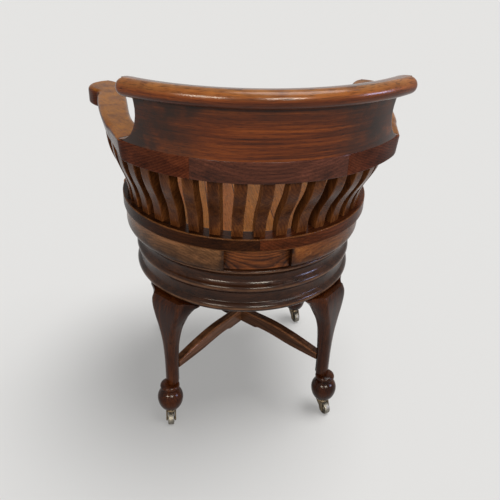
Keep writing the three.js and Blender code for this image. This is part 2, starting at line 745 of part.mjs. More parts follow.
function legFoot() {
  const flatAngle = -Math.asin(ballFlatShare);
  const ball = Array.from({ length: ballSteps + 1 }, (_, k) => {
    const angle = mix(flatAngle, ballTopAngle, k / ballSteps);
    const halfHeight = angle < 0 ? ballDrop : ballRadius;
    return [ballRadius * Math.cos(angle), ballCentreHeight + halfHeight * Math.sin(angle)];
  });
  const collar = collarShares.map(([out, rise]) => [collarRadius * out, ballTop + collarHeight * rise]);
  const outline = [[0, footUnderside], ...ball, ...collar, [0, collarTop]];
  return turned(outline, footSteps, false).translate(0, footRadius, 0);
}

const legGeometry = joined(legBody(), legFoot());
const legs = {
  rear_left: legAngle,
  rear_right: -legAngle,
  front_left: 2 * quarter - legAngle,
  front_right: legAngle - 2 * quarter,
};
for (const [corner, angle] of Object.entries(legs)) {
  addMesh(`leg_${corner}`, legGeometry, darkOak).rotation.z = -radians(angle);
}

// Stretchers: two bars from leg to leg, each arched up to a shallow crown on either side of the middle,
// halved into one another where they cross.
// Each pair is a share of the half length and a share of the height from the end to the crown.
const stretcherTopShares = [[0, 0.93], [0.2, 0.96], [0.44, 1.0], [0.67, 0.72], [0.86, 0.33], [1.0, 0]];
const stretcherUnderShares = [
  [1.0, 0], [0.86, 0.03], [0.67, 0.2], [0.52, 0.66], [0.41, 0.94], [0.33, 1.0], [0.28, 0.88], [0.235, 0.38],
  [0.2, 0.33], [0, 0.33],
];

function stretcher() {
  const endTop = stretcherEndHeight + stretcherEndDepth;
  const half = Math.min(legInner(stretcherEndHeight), legInner(endTop)) - fit;
  const centreUnder = stretcherCrownHeight - stretcherCentreDepth;
  const topRise = stretcherCrownHeight - endTop;
  const underRise = (centreUnder - stretcherEndHeight) / stretcherUnderShares.at(-1)[1];
  const top = stretcherTopShares.map(([out, rise]) => plan(out * half, endTop + rise * topRise));
  const under = stretcherUnderShares.map(([out, rise]) => {
    return plan(out * half, stretcherEndHeight + rise * underRise);
  });
  const smooth = (points) => new THREE.SplineCurve(points).getPoints(points.length * 2);
  const right = [...smooth(top), ...smooth(under)];
  const left = right.map((p) => plan(-p.x, p.y)).toReversed().slice(1, -1);
  const shape = new THREE.Shape([...right, ...left]);
  const bar = roundedSlab(shape, stretcherWidth, arris, 1, cornerSteps);
  return welded(bar.translate(0, 0, -stretcherWidth / 2).rotateX(Math.PI / 2));
}

const lapHeight = stretcherCrownHeight - stretcherCentreDepth / 2;
const lapSize = stretcherWidth + 2 * fit;
const lapBlock = new THREE.BoxGeometry(lapSize, 2 * lapSize, stretcherCentreDepth);
const lapCutter = (middle) => lapBlock.clone().translate(0, 0, middle);
const upperCut = lapCutter(lapHeight - fit / 2 + stretcherCentreDepth / 2);
const lowerCut = lapCutter(lapHeight + fit / 2 - stretcherCentreDepth / 2);
addMesh('stretcher_lower', cutFrom(stretcher(), upperCut), darkOak).rotation.z = radians(quarter - legAngle);
addMesh('stretcher_upper', cutFrom(stretcher(), lowerCut), darkOak).rotation.z = radians(quarter + legAngle);

// Castors: a brass plate and pin under each foot, a horn that turns on the pin, and a wheel on its axle.
const axleLength = cheekGap + 2 * cheekThickness;
const pinHole = castorPinRadius + fit;

function castorPlate() {
  const edge = (castorPlateThickness + fit) / 2;
  const outline = [
    [0, crownUnderside],
    [castorPinRadius, crownUnderside],
    [castorPinRadius, castorPlateUnderside],
    [castorPlateRadius, castorPlateUnderside],
    [castorPlateRadius, castorPlateTop - edge],
    [castorPlateRadius - edge, castorPlateTop],
    [0, castorPlateTop],
  ];
  return turned(outline, smallSteps, false);
}

// The horn's crown is round the pin at the origin, and its cheeks lean out to the axle, which trails it.
function castorHorn() {
  const back = -crownRadius * cheekBackShare;
  const front = crownRadius * cheekFrontShare;
  const lean = Math.atan2(crownUnderside - wheelRadius, castorTrail - eyeRadius - back);
  const cheekShape = new THREE.Shape();
  cheekShape.moveTo(back, crownTop);
  cheekShape.lineTo(back, crownUnderside);
  cheekShape.absarc(castorTrail, wheelRadius, eyeRadius, Math.PI - lean / 2, 2 * Math.PI, false);
  cheekShape.lineTo(front, crownUnderside);
  cheekShape.lineTo(front, crownTop);
  cheekShape.closePath();
  const cheek = extruded(cheekShape, cheekThickness, 0).rotateX(Math.PI / 2).rotateZ(Math.PI / 2);
  const offset = cheekGap / 2;
  const crown = disc(crownRadius, crownUnderside, crownTop);
  const farCheek = cheek.clone().translate(-offset - cheekThickness, 0, 0);
  const horn = joined(crown, cheek.translate(offset, 0, 0), farCheek);
  const axleHole = disc(axleRadius + fit, -axleLength, axleLength, pinSteps)
    .rotateY(Math.PI / 2)
    .translate(0, castorTrail, wheelRadius);
  return cutFrom(horn, disc(pinHole, crownUnderside - overrun, crownTop + overrun), axleHole);
}

function castorWheel() {
  const half = wheelWidth / 2;
  const hole = axleRadius + fit;
  const crown = 2 * arris;
  const outline = [
    [hole, -half],
    [wheelRadius - crown, -half],
    [wheelRadius, crown / 2 - half],
    [wheelRadius, half - crown / 2],
    [wheelRadius - crown, half],
    [hole, half],
  ];
  return turned(outline, wheelSteps).rotateY(Math.PI / 2);
}

const castorPlateGeometry = castorPlate();
const castorHornGeometry = castorHorn();
const castorWheelGeometry = castorWheel();
const castorAxleGeometry = disc(axleRadius, -axleLength / 2, axleLength / 2, pinSteps).rotateY(Math.PI / 2);
for (const [corner, angle] of Object.entries(legs)) {
  const foot = polar(footRadius, angle);
  const heading = -radians(castorAngles[corner]);
  const place = (name, geometry, material, ahead, height) => {
    const mesh = addMesh(`${name}_${corner}`, geometry, material);
    const spot = polar(ahead, castorAngles[corner]).add(foot);
    mesh.position.set(spot.x, spot.y, height);
    mesh.rotation.z = heading;
  };
  place('castor_plate', castorPlateGeometry, brass, 0, 0);
  place('castor_horn', castorHornGeometry, brass, 0, 0);
  place('castor_wheel', castorWheelGeometry, brass, castorTrail, wheelRadius);
  place('castor_axle', castorAxleGeometry, steel, castorTrail, wheelRadius);
}

// The finished chair stands with its origin under the middle of its outer box.
chair.updateMatrixWorld(true);
const box = new THREE.Box3().setFromObject(chair, true);
const middle = box.getCenter(at(0, 0, 0));
chair.position.set(-middle.x, -middle.y, -box.min.z);
chair.updateMatrixWorld(true);

export default chair;
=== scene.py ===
# A revolving desk armchair of stained and polished oak, seen from behind and above. Every piece is built in
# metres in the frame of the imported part: the chair faces -Y and stands on z = 0.
import math

import bmesh
import bpy
from mathutils import Matrix, Vector


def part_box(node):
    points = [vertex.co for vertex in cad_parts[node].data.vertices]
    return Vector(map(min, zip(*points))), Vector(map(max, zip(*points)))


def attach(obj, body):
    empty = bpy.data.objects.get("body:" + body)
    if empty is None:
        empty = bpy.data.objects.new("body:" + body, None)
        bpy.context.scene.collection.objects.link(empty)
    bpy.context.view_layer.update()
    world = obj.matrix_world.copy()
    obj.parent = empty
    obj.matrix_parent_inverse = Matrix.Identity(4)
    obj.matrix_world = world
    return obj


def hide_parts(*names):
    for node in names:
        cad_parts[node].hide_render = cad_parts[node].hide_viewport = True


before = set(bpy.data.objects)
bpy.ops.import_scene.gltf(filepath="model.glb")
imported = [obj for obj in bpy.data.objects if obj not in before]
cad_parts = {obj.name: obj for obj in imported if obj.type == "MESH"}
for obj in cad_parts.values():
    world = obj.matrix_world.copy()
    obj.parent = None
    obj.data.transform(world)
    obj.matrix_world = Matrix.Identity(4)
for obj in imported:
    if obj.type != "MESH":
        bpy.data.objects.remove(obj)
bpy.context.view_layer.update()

# Studio: a plain pale floor that runs out to a pale surround under soft daylight from above. Three small soft
# lamps behind the camera light the polish, two of them warm and the one on the photograph's right cool. Part of
# what the floor shows is a glow of its own, which keeps the chair's shadow on it as weak as the photograph's.
PALE = (0.775, 0.768, 0.752)
LAMP_TARGET = Vector((0, 0.1, 0.5))
FLOOR_REACH = 14
FLOOR_GLOW = 0.36


def linked(name, data):
    made = bpy.data.objects.new(name, data)
    bpy.context.scene.collection.objects.link(made)
    return made


def softbox(name, place, size, watts, colour):
    lamp = bpy.data.lights.new(name, "AREA")
    lamp.shape = "RECTANGLE"
    lamp.size, lamp.size_y = size
    lamp.energy = watts
    lamp.color = colour
    made = linked(name, lamp)
    made.location = place
    made.rotation_euler = (LAMP_TARGET - Vector(place)).to_track_quat("-Z", "Y").to_euler()
    return made


def feed(made, inputs):
    """Gives each input of a shader node, by name or number, its value or the socket that feeds it."""
    for key, value in inputs.items():
        socket = made.inputs[key]
        if isinstance(value, bpy.types.NodeSocket):
            made.id_data.links.new(value, socket)
        else:
            socket.default_value = (*value, 1) if socket.type == "RGBA" else value
    return made


def node(tree, kind, inputs=None, **settings):
    """A new shader node with its settings and inputs."""
    made = tree.nodes.new("ShaderNode" + kind)
    for key, value in settings.items():
        setattr(made, key, value)
    return feed(made, inputs or {})


def plainly_seen(tree):
    """1 where the camera sees a thing, straight or in gloss or through glass, and 0 where it only gives light."""
    path = node(tree, "LightPath")
    seen = path.outputs["Is Camera Ray"]
    for way in ("Is Glossy Ray", "Is Transmission Ray"):
        seen = node(tree, "Math", {0: seen, 1: path.outputs[way]}, operation="MAXIMUM").outputs[0]
    return seen


def new_paint(name):
    """A new material with its node tree and its shader."""
    paint = bpy.data.materials.new(name)
    paint.use_nodes = True
    return paint, paint.node_tree, paint.node_tree.nodes["Principled BSDF"]


camera_data = bpy.data.cameras.new("camera")
camera_data.sensor_width = 36
camera_data.lens = 41.13
camera_data.shift_x = 0.0148
camera_data.shift_y = -0.0418
camera = linked("camera", camera_data)
camera.location = (0.1308, 1.0068, 0.9382)
camera.rotation_euler = [math.radians(turn) for turn in (61.918, -1.273, 173.68)]
bpy.context.scene.camera = camera
bpy.context.scene.view_settings.view_transform = "Standard"

lamps = [softbox("warm lamp", (1.2, 2.0, 1.55), (0.9, 0.34), 42, (1.0, 0.88, 0.72)),
         softbox("near lamp", (-0.55, 2.4, 1.75), (0.9, 0.34), 56, (1.0, 0.93, 0.8)),
         softbox("cool lamp", (-2.0, 1.0, 0.95), (0.6, 0.35), 22, (0.55, 0.62, 1.0))]
sun = bpy.data.lights.new("daylight", "SUN")
sun.energy = 2.65
sun.angle = math.radians(38)
daylight = linked("daylight", sun)
daylight.rotation_euler = [math.radians(turn) for turn in (-1, -15, 0)]

surround = bpy.data.worlds.new("surround")
surround.use_nodes = True
bpy.context.scene.world = surround
sky = surround.node_tree
sky.nodes.clear()
soft_sky = node(sky, "Background", {"Color": (0.96, 0.97, 1.0), "Strength": 0.2})
pale_sky = node(sky, "Background", {"Color": PALE})
shown_sky = node(sky, "MixShader", {"Fac": plainly_seen(sky), 1: soft_sky.outputs[0], 2: pale_sky.outputs[0]})
node(sky, "OutputWorld", {"Surface": shown_sky.outputs[0]})

floor_form = bmesh.new()
bmesh.ops.create_grid(floor_form, x_segments=1, y_segments=1, size=FLOOR_REACH)
floor_mesh = bpy.data.meshes.new("floor")
floor_form.to_mesh(floor_mesh)
floor = linked("floor", floor_mesh)
floor_paint, floor_tree, floor_skin = new_paint("pale floor")
floor_seen = plainly_seen(floor_tree)
shown_floor = node(floor_tree, "Mix", {0: floor_seen, 6: (0.3, 0.29, 0.28), 7: PALE}, data_type="RGBA")
feed(floor_skin, {"Base Color": shown_floor.outputs[2], "Roughness": 0.9, "Specular IOR Level": 0.1})
glow = node(floor_tree, "Emission", {"Color": PALE})
glow_share = node(floor_tree, "Math", {0: floor_seen, 1: FLOOR_GLOW}, operation="MULTIPLY").outputs[0]
lit_floor = node(floor_tree, "MixShader", {"Fac": glow_share, 1: floor_skin.outputs["BSDF"], 2: glow.outputs[0]})
feed(floor_tree.nodes["Material Output"], {"Surface": lit_floor.outputs[0]})
floor_mesh.materials.append(floor_paint)
spared = bpy.data.collections.new("lamps pass by")
spared.objects.link(floor)
spared.collection_objects[0].light_linking.link_state = "EXCLUDE"
for lamp in lamps:
    lamp.light_linking.receiver_collection = spared

# Crest board: one thick oak board sawn to the hoop's curve and standing on it, its back face hollowed, its top
# rolled over backwards. The ends are cut to a hollow curve and the roll runs on past them as two round ears.
MM = 0.001
PIVOT = (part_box("spindle")[0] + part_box("spindle")[1]) / 2
HOOP_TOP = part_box("hoop_back")[1].z
HOOP_RADIUS = 276 * MM
HOOP_SET_BACK = 51 * MM
CREST_SET_BACK = 30 * MM
ROLL_CENTRE_RADIUS = 315 * MM
ROLL_RADIUS = 13 * MM
ROLL_END_ANGLE = 41.8
ROLL_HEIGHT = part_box("crest_board")[1].z - ROLL_RADIUS
CREST_FACE_RADIUS = ROLL_CENTRE_RADIUS - 10 * MM
CREST_HOLLOW = 4 * MM
CREST_FOOT_THICKNESS = 38 * MM
CREST_TOP_THICKNESS = 22 * MM
CREST_END_ANGLE = 40.8
CREST_FOOT_ANGLE = 54
CREST_END_DROP = 9 * MM
CREST_ARRIS = 2.4 * MM
# Where the painted shade on the crest's outer face grows: towards its ends, and up under the roll.
CREST_SHADE_ANGLES = (17, 32)
CREST_SHADE_RISES = (0.5, 0.8)
CREST_STEPS = 80
ROLL_STEPS = 96
ROLL_SIDES = 32
DOME_TURNS = (15, 30, 45, 60, 72, 82, 88)
SMOOTH_ANGLE = math.radians(38)
CREST_FACE_RISES = (0, 0.02, 0.05, 0.1, 0.17, 0.26, 0.37, 0.5, 0.62, 0.74, 0.84)
CREST_OUTER_SHARES = [(rise, 0.0) for rise in CREST_FACE_RISES] + [(0.94, 0.06), (1.02, 0.1)]
CREST_INNER_SHARES = [
    (1.138, -0.46), (1.135, -0.2), (1.125, 0.1), (1.105, 0.42), (1.07, 0.72), (1.02, 0.9), (0.95, 0.985),
    (0.84, 1.0), (0.68, 1.0), (0.5, 1.0), (0.26, 1.0), (0.05, 1.0), (0, 1.0),
]


def mix(a, b, share):
    return a + (b - a) * share


def evenly(start, end, steps):
    """Values from a start to an end, with both of them."""
    return [mix(start, end, k / steps) for k in range(steps + 1)]


def reached(value, start, end):
    """How far a value has come from a start to an end, from 0 to 1."""
    return min(1, max(0, (value - start) / (end - start)))


def polar(radius, angle, set_back=0.0):
    """Plan point at a radius and an angle in degrees from the back (+Y) towards the sitter's left (+X)."""
    turn = math.radians(angle)
    return Vector((PIVOT.x + radius * math.sin(turn), PIVOT.y + set_back + radius * math.cos(turn)))


def part(name, form, paint, body, material_slot, *nodes):
    """Makes a finished bmesh a piece that stands for CAD nodes and moves with their body."""
    mesh = bpy.data.meshes.new(name)
    form.to_mesh(mesh)
    form.free()
    mesh.materials.append(paint)
    mesh.shade_smooth()
    mesh.set_sharp_from_angle(angle=SMOOTH_ANGLE)
    made = linked(name, mesh)
    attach(made, body)
    if nodes:
        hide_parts(*nodes)
    return made


def wear_and_shade_of(form):
    """The layer that says where a form is rubbed, above 0, or darkened as painted shade, below."""
    layers = form.verts.layers.float
    return layers.get("wear") or layers.new("wear")


def drawn(form, rings):
    """Draws a section through a row of rings of (point, wear) pairs, an extrusion for each step, and closes both
    ends with strips between the two sides of the section."""
    wear = wear_and_shade_of(form)
    count = len(rings[0])

    def set_ring(loop, ring):
        for corner, (point, worn) in zip(loop, ring):
            corner.co = point
            corner[wear] = worn

    def cap(loop):
        for k in range(count // 2 - 1):
            form.faces.new((loop[k], loop[k + 1], loop[count - 2 - k], loop[count - 1 - k]))

    def edges_of(loop):
        return [form.edges.get((loop[k - 1], loop[k])) for k in range(count)]

    loop = [form.verts.new() for _ in range(count)]
    for k in range(count):
        form.edges.new((loop[k - 1], loop[k]))
    set_ring(loop, rings[0])
    first = loop
    for ring in rings[1:]:
        grown = bmesh.ops.extrude_edge_only(form, edges=edges_of(loop))["geom"]
        fresh = {item for item in grown if isinstance(item, bmesh.types.BMVert)}
        loop = [next(e.other_vert(v) for e in v.link_edges if e.other_vert(v) in fresh) for v in loop]
        set_ring(loop, ring)
    cap(first)
    cap(loop)
    bmesh.ops.recalc_face_normals(form, faces=form.faces)
    return form


def noise(vector, scale, detail=3.0, rough=0.55, distortion=0.0):
    inputs = {"Vector": vector, "Scale": scale, "Detail": detail, "Roughness": rough, "Distortion": distortion}
    return node(vector.id_data, "TexNoise", inputs).outputs["Fac"]


def ramp(value, *stops, interpolation="LINEAR"):
    """A ramp through stops of a place and a grey level or a colour."""
    made = node(value.id_data, "ValToRGB", {"Fac": value})
    made.color_ramp.interpolation = interpolation
    bar = made.color_ramp.elements
    while len(bar) < len(stops):
        bar.new(0.5)
    for element, (place, level) in zip(bar, stops):
        element.position = place
        element.color = (*level, 1) if isinstance(level, tuple) else (level, level, level, 1)
    return made.outputs["Color"]


def maths(operation, a, b):
    return node(a.id_data, "Math", {0: a, 1: b}, operation=operation).outputs[0]


def blended(mode, share, a, b):
    """Two colours laid over each other by a share. One value at least is a socket."""
    tree = next(value.id_data for value in (share, a, b) if isinstance(value, bpy.types.NodeSocket))
    return node(tree, "Mix", {0: share, 6: a, 7: b}, data_type="RGBA", blend_type=mode).outputs[2]


def oak(name, deep, middle, light, pith, grain=(0, 0, 0), ring=0.004, rings=0.14, figure=0.0, patch=0.35, gloss=0.1,
        worn=(0.25, 0.1, 0.032), wear=0.3, shine=0.11, flat=1.0):
    """Stained and polished oak cut from the solid: growth rings about a pith, fibres along the grain, dark open
    pores, silvery ray flecks where it is quarter sawn, uneven stain, rubbed arrises where the wear attribute is
    above 0 and painted shade where it is below. The texture's x axis is the grain, and grain turns it in degrees.
    A flat below 1 lays the rings and streaks flat, as in a board whose rings are cut level."""
    paint, tree, skin = new_paint(name)

    def drawn_out(vector, along):
        return node(tree, "Mapping", {"Vector": vector, "Scale": (along, flat, 1)}).outputs[0]

    turns = [math.radians(turn) for turn in grain]
    place = node(tree, "TexCoord").outputs["Object"]
    board = node(tree, "Mapping", {"Vector": place, "Rotation": turns}).outputs[0]
    wander = node(tree, "TexNoise", {"Vector": drawn_out(board, 0.45), "Scale": 7, "Detail": 2}).outputs["Color"]
    sway = node(tree, "VectorMath", {0: wander, "Scale": 0.03}, operation="SCALE").outputs[0]
    grown = node(tree, "VectorMath", {0: board, 1: sway}, operation="ADD").outputs[0]
    centred = node(tree, "Mapping", {"Vector": grown, "Location": pith, "Scale": (0.12, flat, 1)}).outputs[0]
    spacing = {"Scale": 2 * math.pi / (20 * ring), "Distortion": 2.5, "Detail": 3, "Detail Scale": 0.8}
    wave = node(tree, "TexWave", {"Vector": centred, **spacing}, wave_type="RINGS", rings_direction="X",
                wave_profile="SAW").outputs["Fac"]
    early = ramp(wave, (0.0, 0.12), (0.22, 0.55), (0.75, 1.0), (1.0, 0.2))
    fibre = noise(drawn_out(grown, 0.03), 420, 4, 0.65)
    streak = noise(drawn_out(grown, 0.03), 90, 4, 0.66)
    cloud = noise(drawn_out(board, 0.12), 15, 4, 0.6, 0.2)
    pores = ramp(noise(drawn_out(grown, 0.035), 1500, 2, 0.5), (0.36, 0.0), (0.46, 1.0))

    body = maths("ADD", maths("MULTIPLY", early, rings), maths("MULTIPLY", streak, 1 - rings))
    body = maths("ADD", body, maths("MULTIPLY", maths("SUBTRACT", fibre, 0.5), 0.4))
    body = maths("ADD", body, maths("MULTIPLY", maths("SUBTRACT", cloud, 0.5), 2 * patch))
    colour = ramp(body, (0.27, deep), (0.5, middle), (0.73, light))
    if figure:
        tilt = (0, 0, math.radians(14))
        flake = node(tree, "Mapping", {"Vector": grown, "Rotation": tilt, "Scale": (1.0, 0.16, 0.7)}).outputs[0]
        flecks = node(tree, "TexVoronoi", feature="SMOOTH_F1", distance="EUCLIDEAN")
        feed(flecks, {"Vector": flake, "Scale": 62, "Smoothness": 0.4})
        silver = maths("MULTIPLY", ramp(flecks.outputs["Distance"], (0.05, 1.0), (0.2, 0.0)),
                       ramp(noise(board, 16, 2), (0.45, 0.0), (0.62, 1.0)))
        bright = tuple(min(1.0, 1.35 * tone + 0.02) for tone in light)
        colour = blended("MIX", maths("MULTIPLY", silver, figure), colour, bright)
    colour = blended("MULTIPLY", 0.5, colour, pores)

    rub = node(tree, "Attribute", attribute_name="wear").outputs["Fac"]
    patchy = ramp(noise(board, 38, 3), (0.3, 0.35), (0.62, 1.0))
    rubbed = maths("MULTIPLY", maths("MAXIMUM", rub, 0.0), patchy)
    colour = blended("MIX", maths("MULTIPLY", rubbed, wear), colour, blended("MULTIPLY", 0.6, worn, pores))
    # Painted shade: where the wear attribute is below 0, the colour is drawn towards near black.
    painted_shade = maths("MULTIPLY", maths("MAXIMUM", maths("MULTIPLY", rub, -1), 0.0), patchy)
    colour = blended("MIX", painted_shade, colour, (0.012, 0.006, 0.004))

    rough = maths("ADD", maths("MULTIPLY", noise(board, 26, 4, 0.6), 0.1), maths("MULTIPLY", fibre, 0.05))
    relief = maths("ADD", maths("MULTIPLY", pores, 0.4), maths("MULTIPLY", streak, 0.8))
    relief = maths("ADD", relief, maths("MULTIPLY", early, 0.15))
    bump = node(tree, "Bump", {"Strength": 0.12, "Distance": 0.0006, "Height": relief}).outputs["Normal"]
    feed(skin, {"Base Color": colour, "Roughness": maths("ADD", rough, gloss), "Normal": bump,
                "Specular IOR Level": shine})
    return paint


def crest_end(height):
    """Angle of the crest's cut end at a height."""
    fall = reached(height, ROLL_HEIGHT - CREST_END_DROP, HOOP_TOP)
    return mix(CREST_END_ANGLE, CREST_FOOT_ANGLE, 1 - math.sqrt(1 - fall * fall))


def crest_ring(along, inset):
    """Section of the crest up the outer face into the roll, over the top and down the inner face, drawn in from
    both faces by an inset. Rises are shares of the way to the roll's centre, depths shares of the thickness."""
    ring = []
    for side, shares in ((0, CREST_OUTER_SHARES), (1, CREST_INNER_SHARES)):
        for rise, share in shares:
            height = mix(HOOP_TOP, ROLL_HEIGHT, rise)
            leant = min(1, rise)
            thickness = mix(CREST_FOOT_THICKNESS, CREST_TOP_THICKNESS, leant)
            face = mix(HOOP_RADIUS, CREST_FACE_RADIUS, leant) - CREST_HOLLOW * 4 * leant * (1 - leant)
            depth = share * thickness + (inset if side == 0 else -inset)
            edge = 1 - 1.6 * inset / (HOOP_RADIUS * math.radians(crest_end(height)))
            angle = along * crest_end(height)
            # Painted shade on the outer face, darker towards the ends and up under the roll.
            end_and_roll_shade = 0.95 * reached(abs(angle), *CREST_SHADE_ANGLES) + 0.7 * reached(rise, *CREST_SHADE_RISES)
            spot = polar(face - depth, angle * edge, mix(HOOP_SET_BACK, CREST_SET_BACK, leant))
            ring.append(((*spot, height), 0.3 if inset else -min(0.95, end_and_roll_shade) if side == 0 else 0.1))
    return ring


crest_oak = oak("crest oak", (0.017, 0.0039, 0.00064), (0.061, 0.013, 0.002), (0.14, 0.035, 0.005),
                pith=(0, 0.1, -0.42), ring=0.006, rings=0.1, patch=0.15, gloss=0.12, worn=(0.32, 0.14, 0.035),
                wear=0.5, shine=0.22, flat=0.12)
crest = bmesh.new()
stations = [(-1.0, 1.0), (-0.998, 0.45), (-0.993, 0.1), (-0.986, 0)]
stations += [(along, 0) for along in evenly(-1, 1, CREST_STEPS)[1:-1]]
stations += [(-along, inset) for along, inset in reversed(stations[:4])]
drawn(crest, [crest_ring(along, inset * CREST_ARRIS) for along, inset in stations])
roll_reach = ROLL_END_ANGLE - math.degrees(ROLL_RADIUS / ROLL_CENTRE_RADIUS)
dome = [(roll_reach + math.degrees(ROLL_RADIUS * math.sin(turn) / ROLL_CENTRE_RADIUS), math.cos(turn))
        for turn in map(math.radians, DOME_TURNS)]
roll_stations = [(-angle, share) for angle, share in reversed(dome)]
roll_stations += [(angle, 1.0) for angle in evenly(-roll_reach, roll_reach, ROLL_STEPS)] + dome
roll_rings = []
for angle, share in roll_stations:
    ring = []
    for k in range(ROLL_SIDES):
        turn = math.tau * k / ROLL_SIDES
        up = math.sin(turn)
        spot = polar(ROLL_CENTRE_RADIUS + ROLL_RADIUS * share * math.cos(turn), angle, CREST_SET_BACK)
        # The roll's top is rubbed; its underside is darkened as painted shade.
        ring.append(((*spot, ROLL_HEIGHT + ROLL_RADIUS * share * up), (0.9 if up > 0 else 0.5) * up))
    roll_rings.append(ring)
drawn(crest, roll_rings)
part("crest_board_oak", crest, crest_oak, "seat", "crest_oak", "crest_board")

# Horseshoe rail: a back hoop and two arms sawn from flat oak boards and scarfed together. The arms leave the
# circle in a long easy curve and end in handholds that flare outwards, their edges rounded and their polish
# rubbed off by hands.
HOOP_WIDTH = 45 * MM
HOOP_THICKNESS = HOOP_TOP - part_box("hoop_back")[0].z
HOOP_UNDERSIDE = HOOP_TOP - HOOP_THICKNESS
HOOP_JOINT_ANGLE = 25
ARM_SPLIT_ANGLE = 52.5
ARM_REACH = 150 * MM
ARM_HALF_SPAN = 306 * MM
ARM_ROUNDING = 8 * MM
ARM_FLARE = 8 * MM
SPLIT_FLARE_SHARE = 0.375
# How dark the painted shade is on the arms' sides and underside and on the top beside the crest's foot.
ARM_SHADE = -0.35
HOOP_STEPS = 36
ARM_STEPS = 20
HAND_STEPS = 7
ARRIS = 1.2 * MM
SEAM = 0.15 * MM
ARM_OUTER_SHARES = [
    (0.775, -1.0), (0.806, -0.78), (0.835, -0.53), (0.861, -0.26), (0.882, 0.01), (0.898, 0.27),
    (0.917, 0.45), (0.967, 0.57), (1.0, 0.72), (0.991, 0.87), (0.945, 0.97), (0.899, 1.0),
]
ARM_INNER_SHARES = [
    (0.645, -0.92), (0.674, -0.72), (0.693, -0.51), (0.709, -0.27), (0.724, 0.0), (0.739, 0.26),
    (0.752, 0.47), (0.765, 0.61), (0.779, 0.74), (0.799, 0.865), (0.832, 0.955), (0.868, 0.995),
]


def eased(points, steps):
    """A smooth curve through points, each span in a number of steps."""
    points = [Vector(point) for point in points]
    curve = []
    last = len(points) - 1
    for k in range(last * steps + 1):
        span = min(k // steps, last - 1)
        t = k / steps - span
        a, b = points[max(span - 1, 0)], points[span]
        c, d = points[span + 1], points[min(span + 2, last)]
        slope_b, slope_c = (c - a) / 2, (d - b) / 2
        curve.append((2 * b - 2 * c + slope_b + slope_c) * t ** 3
                     + (3 * c - 3 * b - 2 * slope_b - slope_c) * t ** 2 + slope_b * t + b)
    return curve


def moulded(width, height, roundings, steps=4, guard=1.5 * MM):
    """Section of a bar as (across, up, wear), from its inner side round by the bottom. Each corner has its own
    rounding, with a point beyond each end of it that keeps the flat flat."""
    inner_bottom, outer_bottom, outer_top, inner_top = (min(r, 0.42 * min(width, height)) for r in roundings)
    corners = [(inner_bottom, inner_bottom, inner_bottom, 180),
               (width - outer_bottom, outer_bottom, outer_bottom, 270),
               (width - outer_top, height - outer_top, outer_top, 0), (inner_top, height - inner_top, inner_top, 90)]
    outline = []
    for across, up, radius, start in corners:
        for k in range(-1, steps + 2):
            turn = math.radians(start + 90 * min(max(k / steps, 0), 1))
            u, v = across + radius * math.cos(turn), up + radius * math.sin(turn)
            if k in (-1, steps + 1):
                away = turn + (math.pi / 2 if k > 0 else -math.pi / 2)
                u, v = u + guard * math.cos(away), v + guard * math.sin(away)
            outline.append((u, v, 0.0 if k in (-1, steps + 1) else 1.0))
    return outline


def bar(stations, bottom, height, steps=4):
    """A moulded bar lying between pairs of plan points, each with its corner roundings. A flare leans the outer
    side out towards the top."""
    rings = []
    for inner, outer, roundings, *flare in stations:
        across = (outer - inner).normalized()
        width = (outer - inner).length
        lean = flare[0] if flare else 0.0
        rings.append([((*(inner + across * (u + lean * (u / width) ** 2 * v / height)), bottom + v), worn)
                      for u, v, worn in moulded(width, height, roundings, steps)])
    return drawn(bmesh.new(), rings)


def hoop_station(angle):
    inner, outer = (polar(radius, angle, HOOP_SET_BACK) for radius in (HOOP_RADIUS - HOOP_WIDTH, HOOP_RADIUS))
    return inner, outer, [ARRIS] * 4


def arm_stations():
    joint = HOOP_JOINT_ANGLE + math.degrees(SEAM / HOOP_RADIUS)
    stations = []
    for along in evenly(0, 1, ARM_STEPS)[:-1]:
        flare = ARM_FLARE * SPLIT_FLARE_SHARE * reached(along, 0.75, 1) ** 2
        stations.append((*hoop_station(mix(joint, ARM_SPLIT_ANGLE, along)), flare))
    inner, outer, _ = hoop_station(ARM_SPLIT_ANGLE)
    origin = Vector((PIVOT.x, PIVOT.y))

    def spread(shares):
        return [origin + Vector((across * ARM_HALF_SPAN, -ahead * ARM_REACH)) for across, ahead in shares]

    inner_edge = eased([inner] + spread(ARM_INNER_SHARES), HAND_STEPS)
    outer_edge = eased([outer] + spread(ARM_OUTER_SHARES), HAND_STEPS)
    for k, (near, far) in enumerate(zip(inner_edge, outer_edge)):
        top = mix(ARRIS, ARM_ROUNDING, min(1, k / HAND_STEPS))
        along = k / (len(inner_edge) - 1)
        flare = ARM_FLARE * mix(SPLIT_FLARE_SHARE, 1, reached(along, 0, 0.12)) * (1 - reached(along, 0.5, 0.7)) ** 2
        stations.append((near, far, [ARM_ROUNDING / 2, ARM_ROUNDING / 2, top, top], flare))
    return stations


def mirror_copy(form):
    """The same form for the sitter's right."""
    other = form.copy()
    across = Matrix.Translation((2 * PIVOT.x, 0, 0)) @ Matrix.Scale(-1, 4, (1, 0, 0))
    bmesh.ops.transform(other, matrix=across, verts=other.verts)
    bmesh.ops.reverse_faces(other, faces=other.faces)
    return other


dark_oak = oak("dark oak", (0.015, 0.0048, 0.0028), (0.043, 0.013, 0.0067), (0.08, 0.025, 0.014),
               pith=(0, -0.05, -0.3), ring=0.005, patch=0.4, gloss=0.12, wear=0.0, shine=0.16)
joint_angle = HOOP_JOINT_ANGLE - math.degrees(SEAM / HOOP_RADIUS)
hoop_stations = [hoop_station(angle) for angle in evenly(-joint_angle, joint_angle, HOOP_STEPS)]
hoop = bar(hoop_stations, HOOP_UNDERSIDE, HOOP_THICKNESS)
part("hoop_back_oak", hoop, dark_oak, "seat", "dark_oak", "hoop_back")

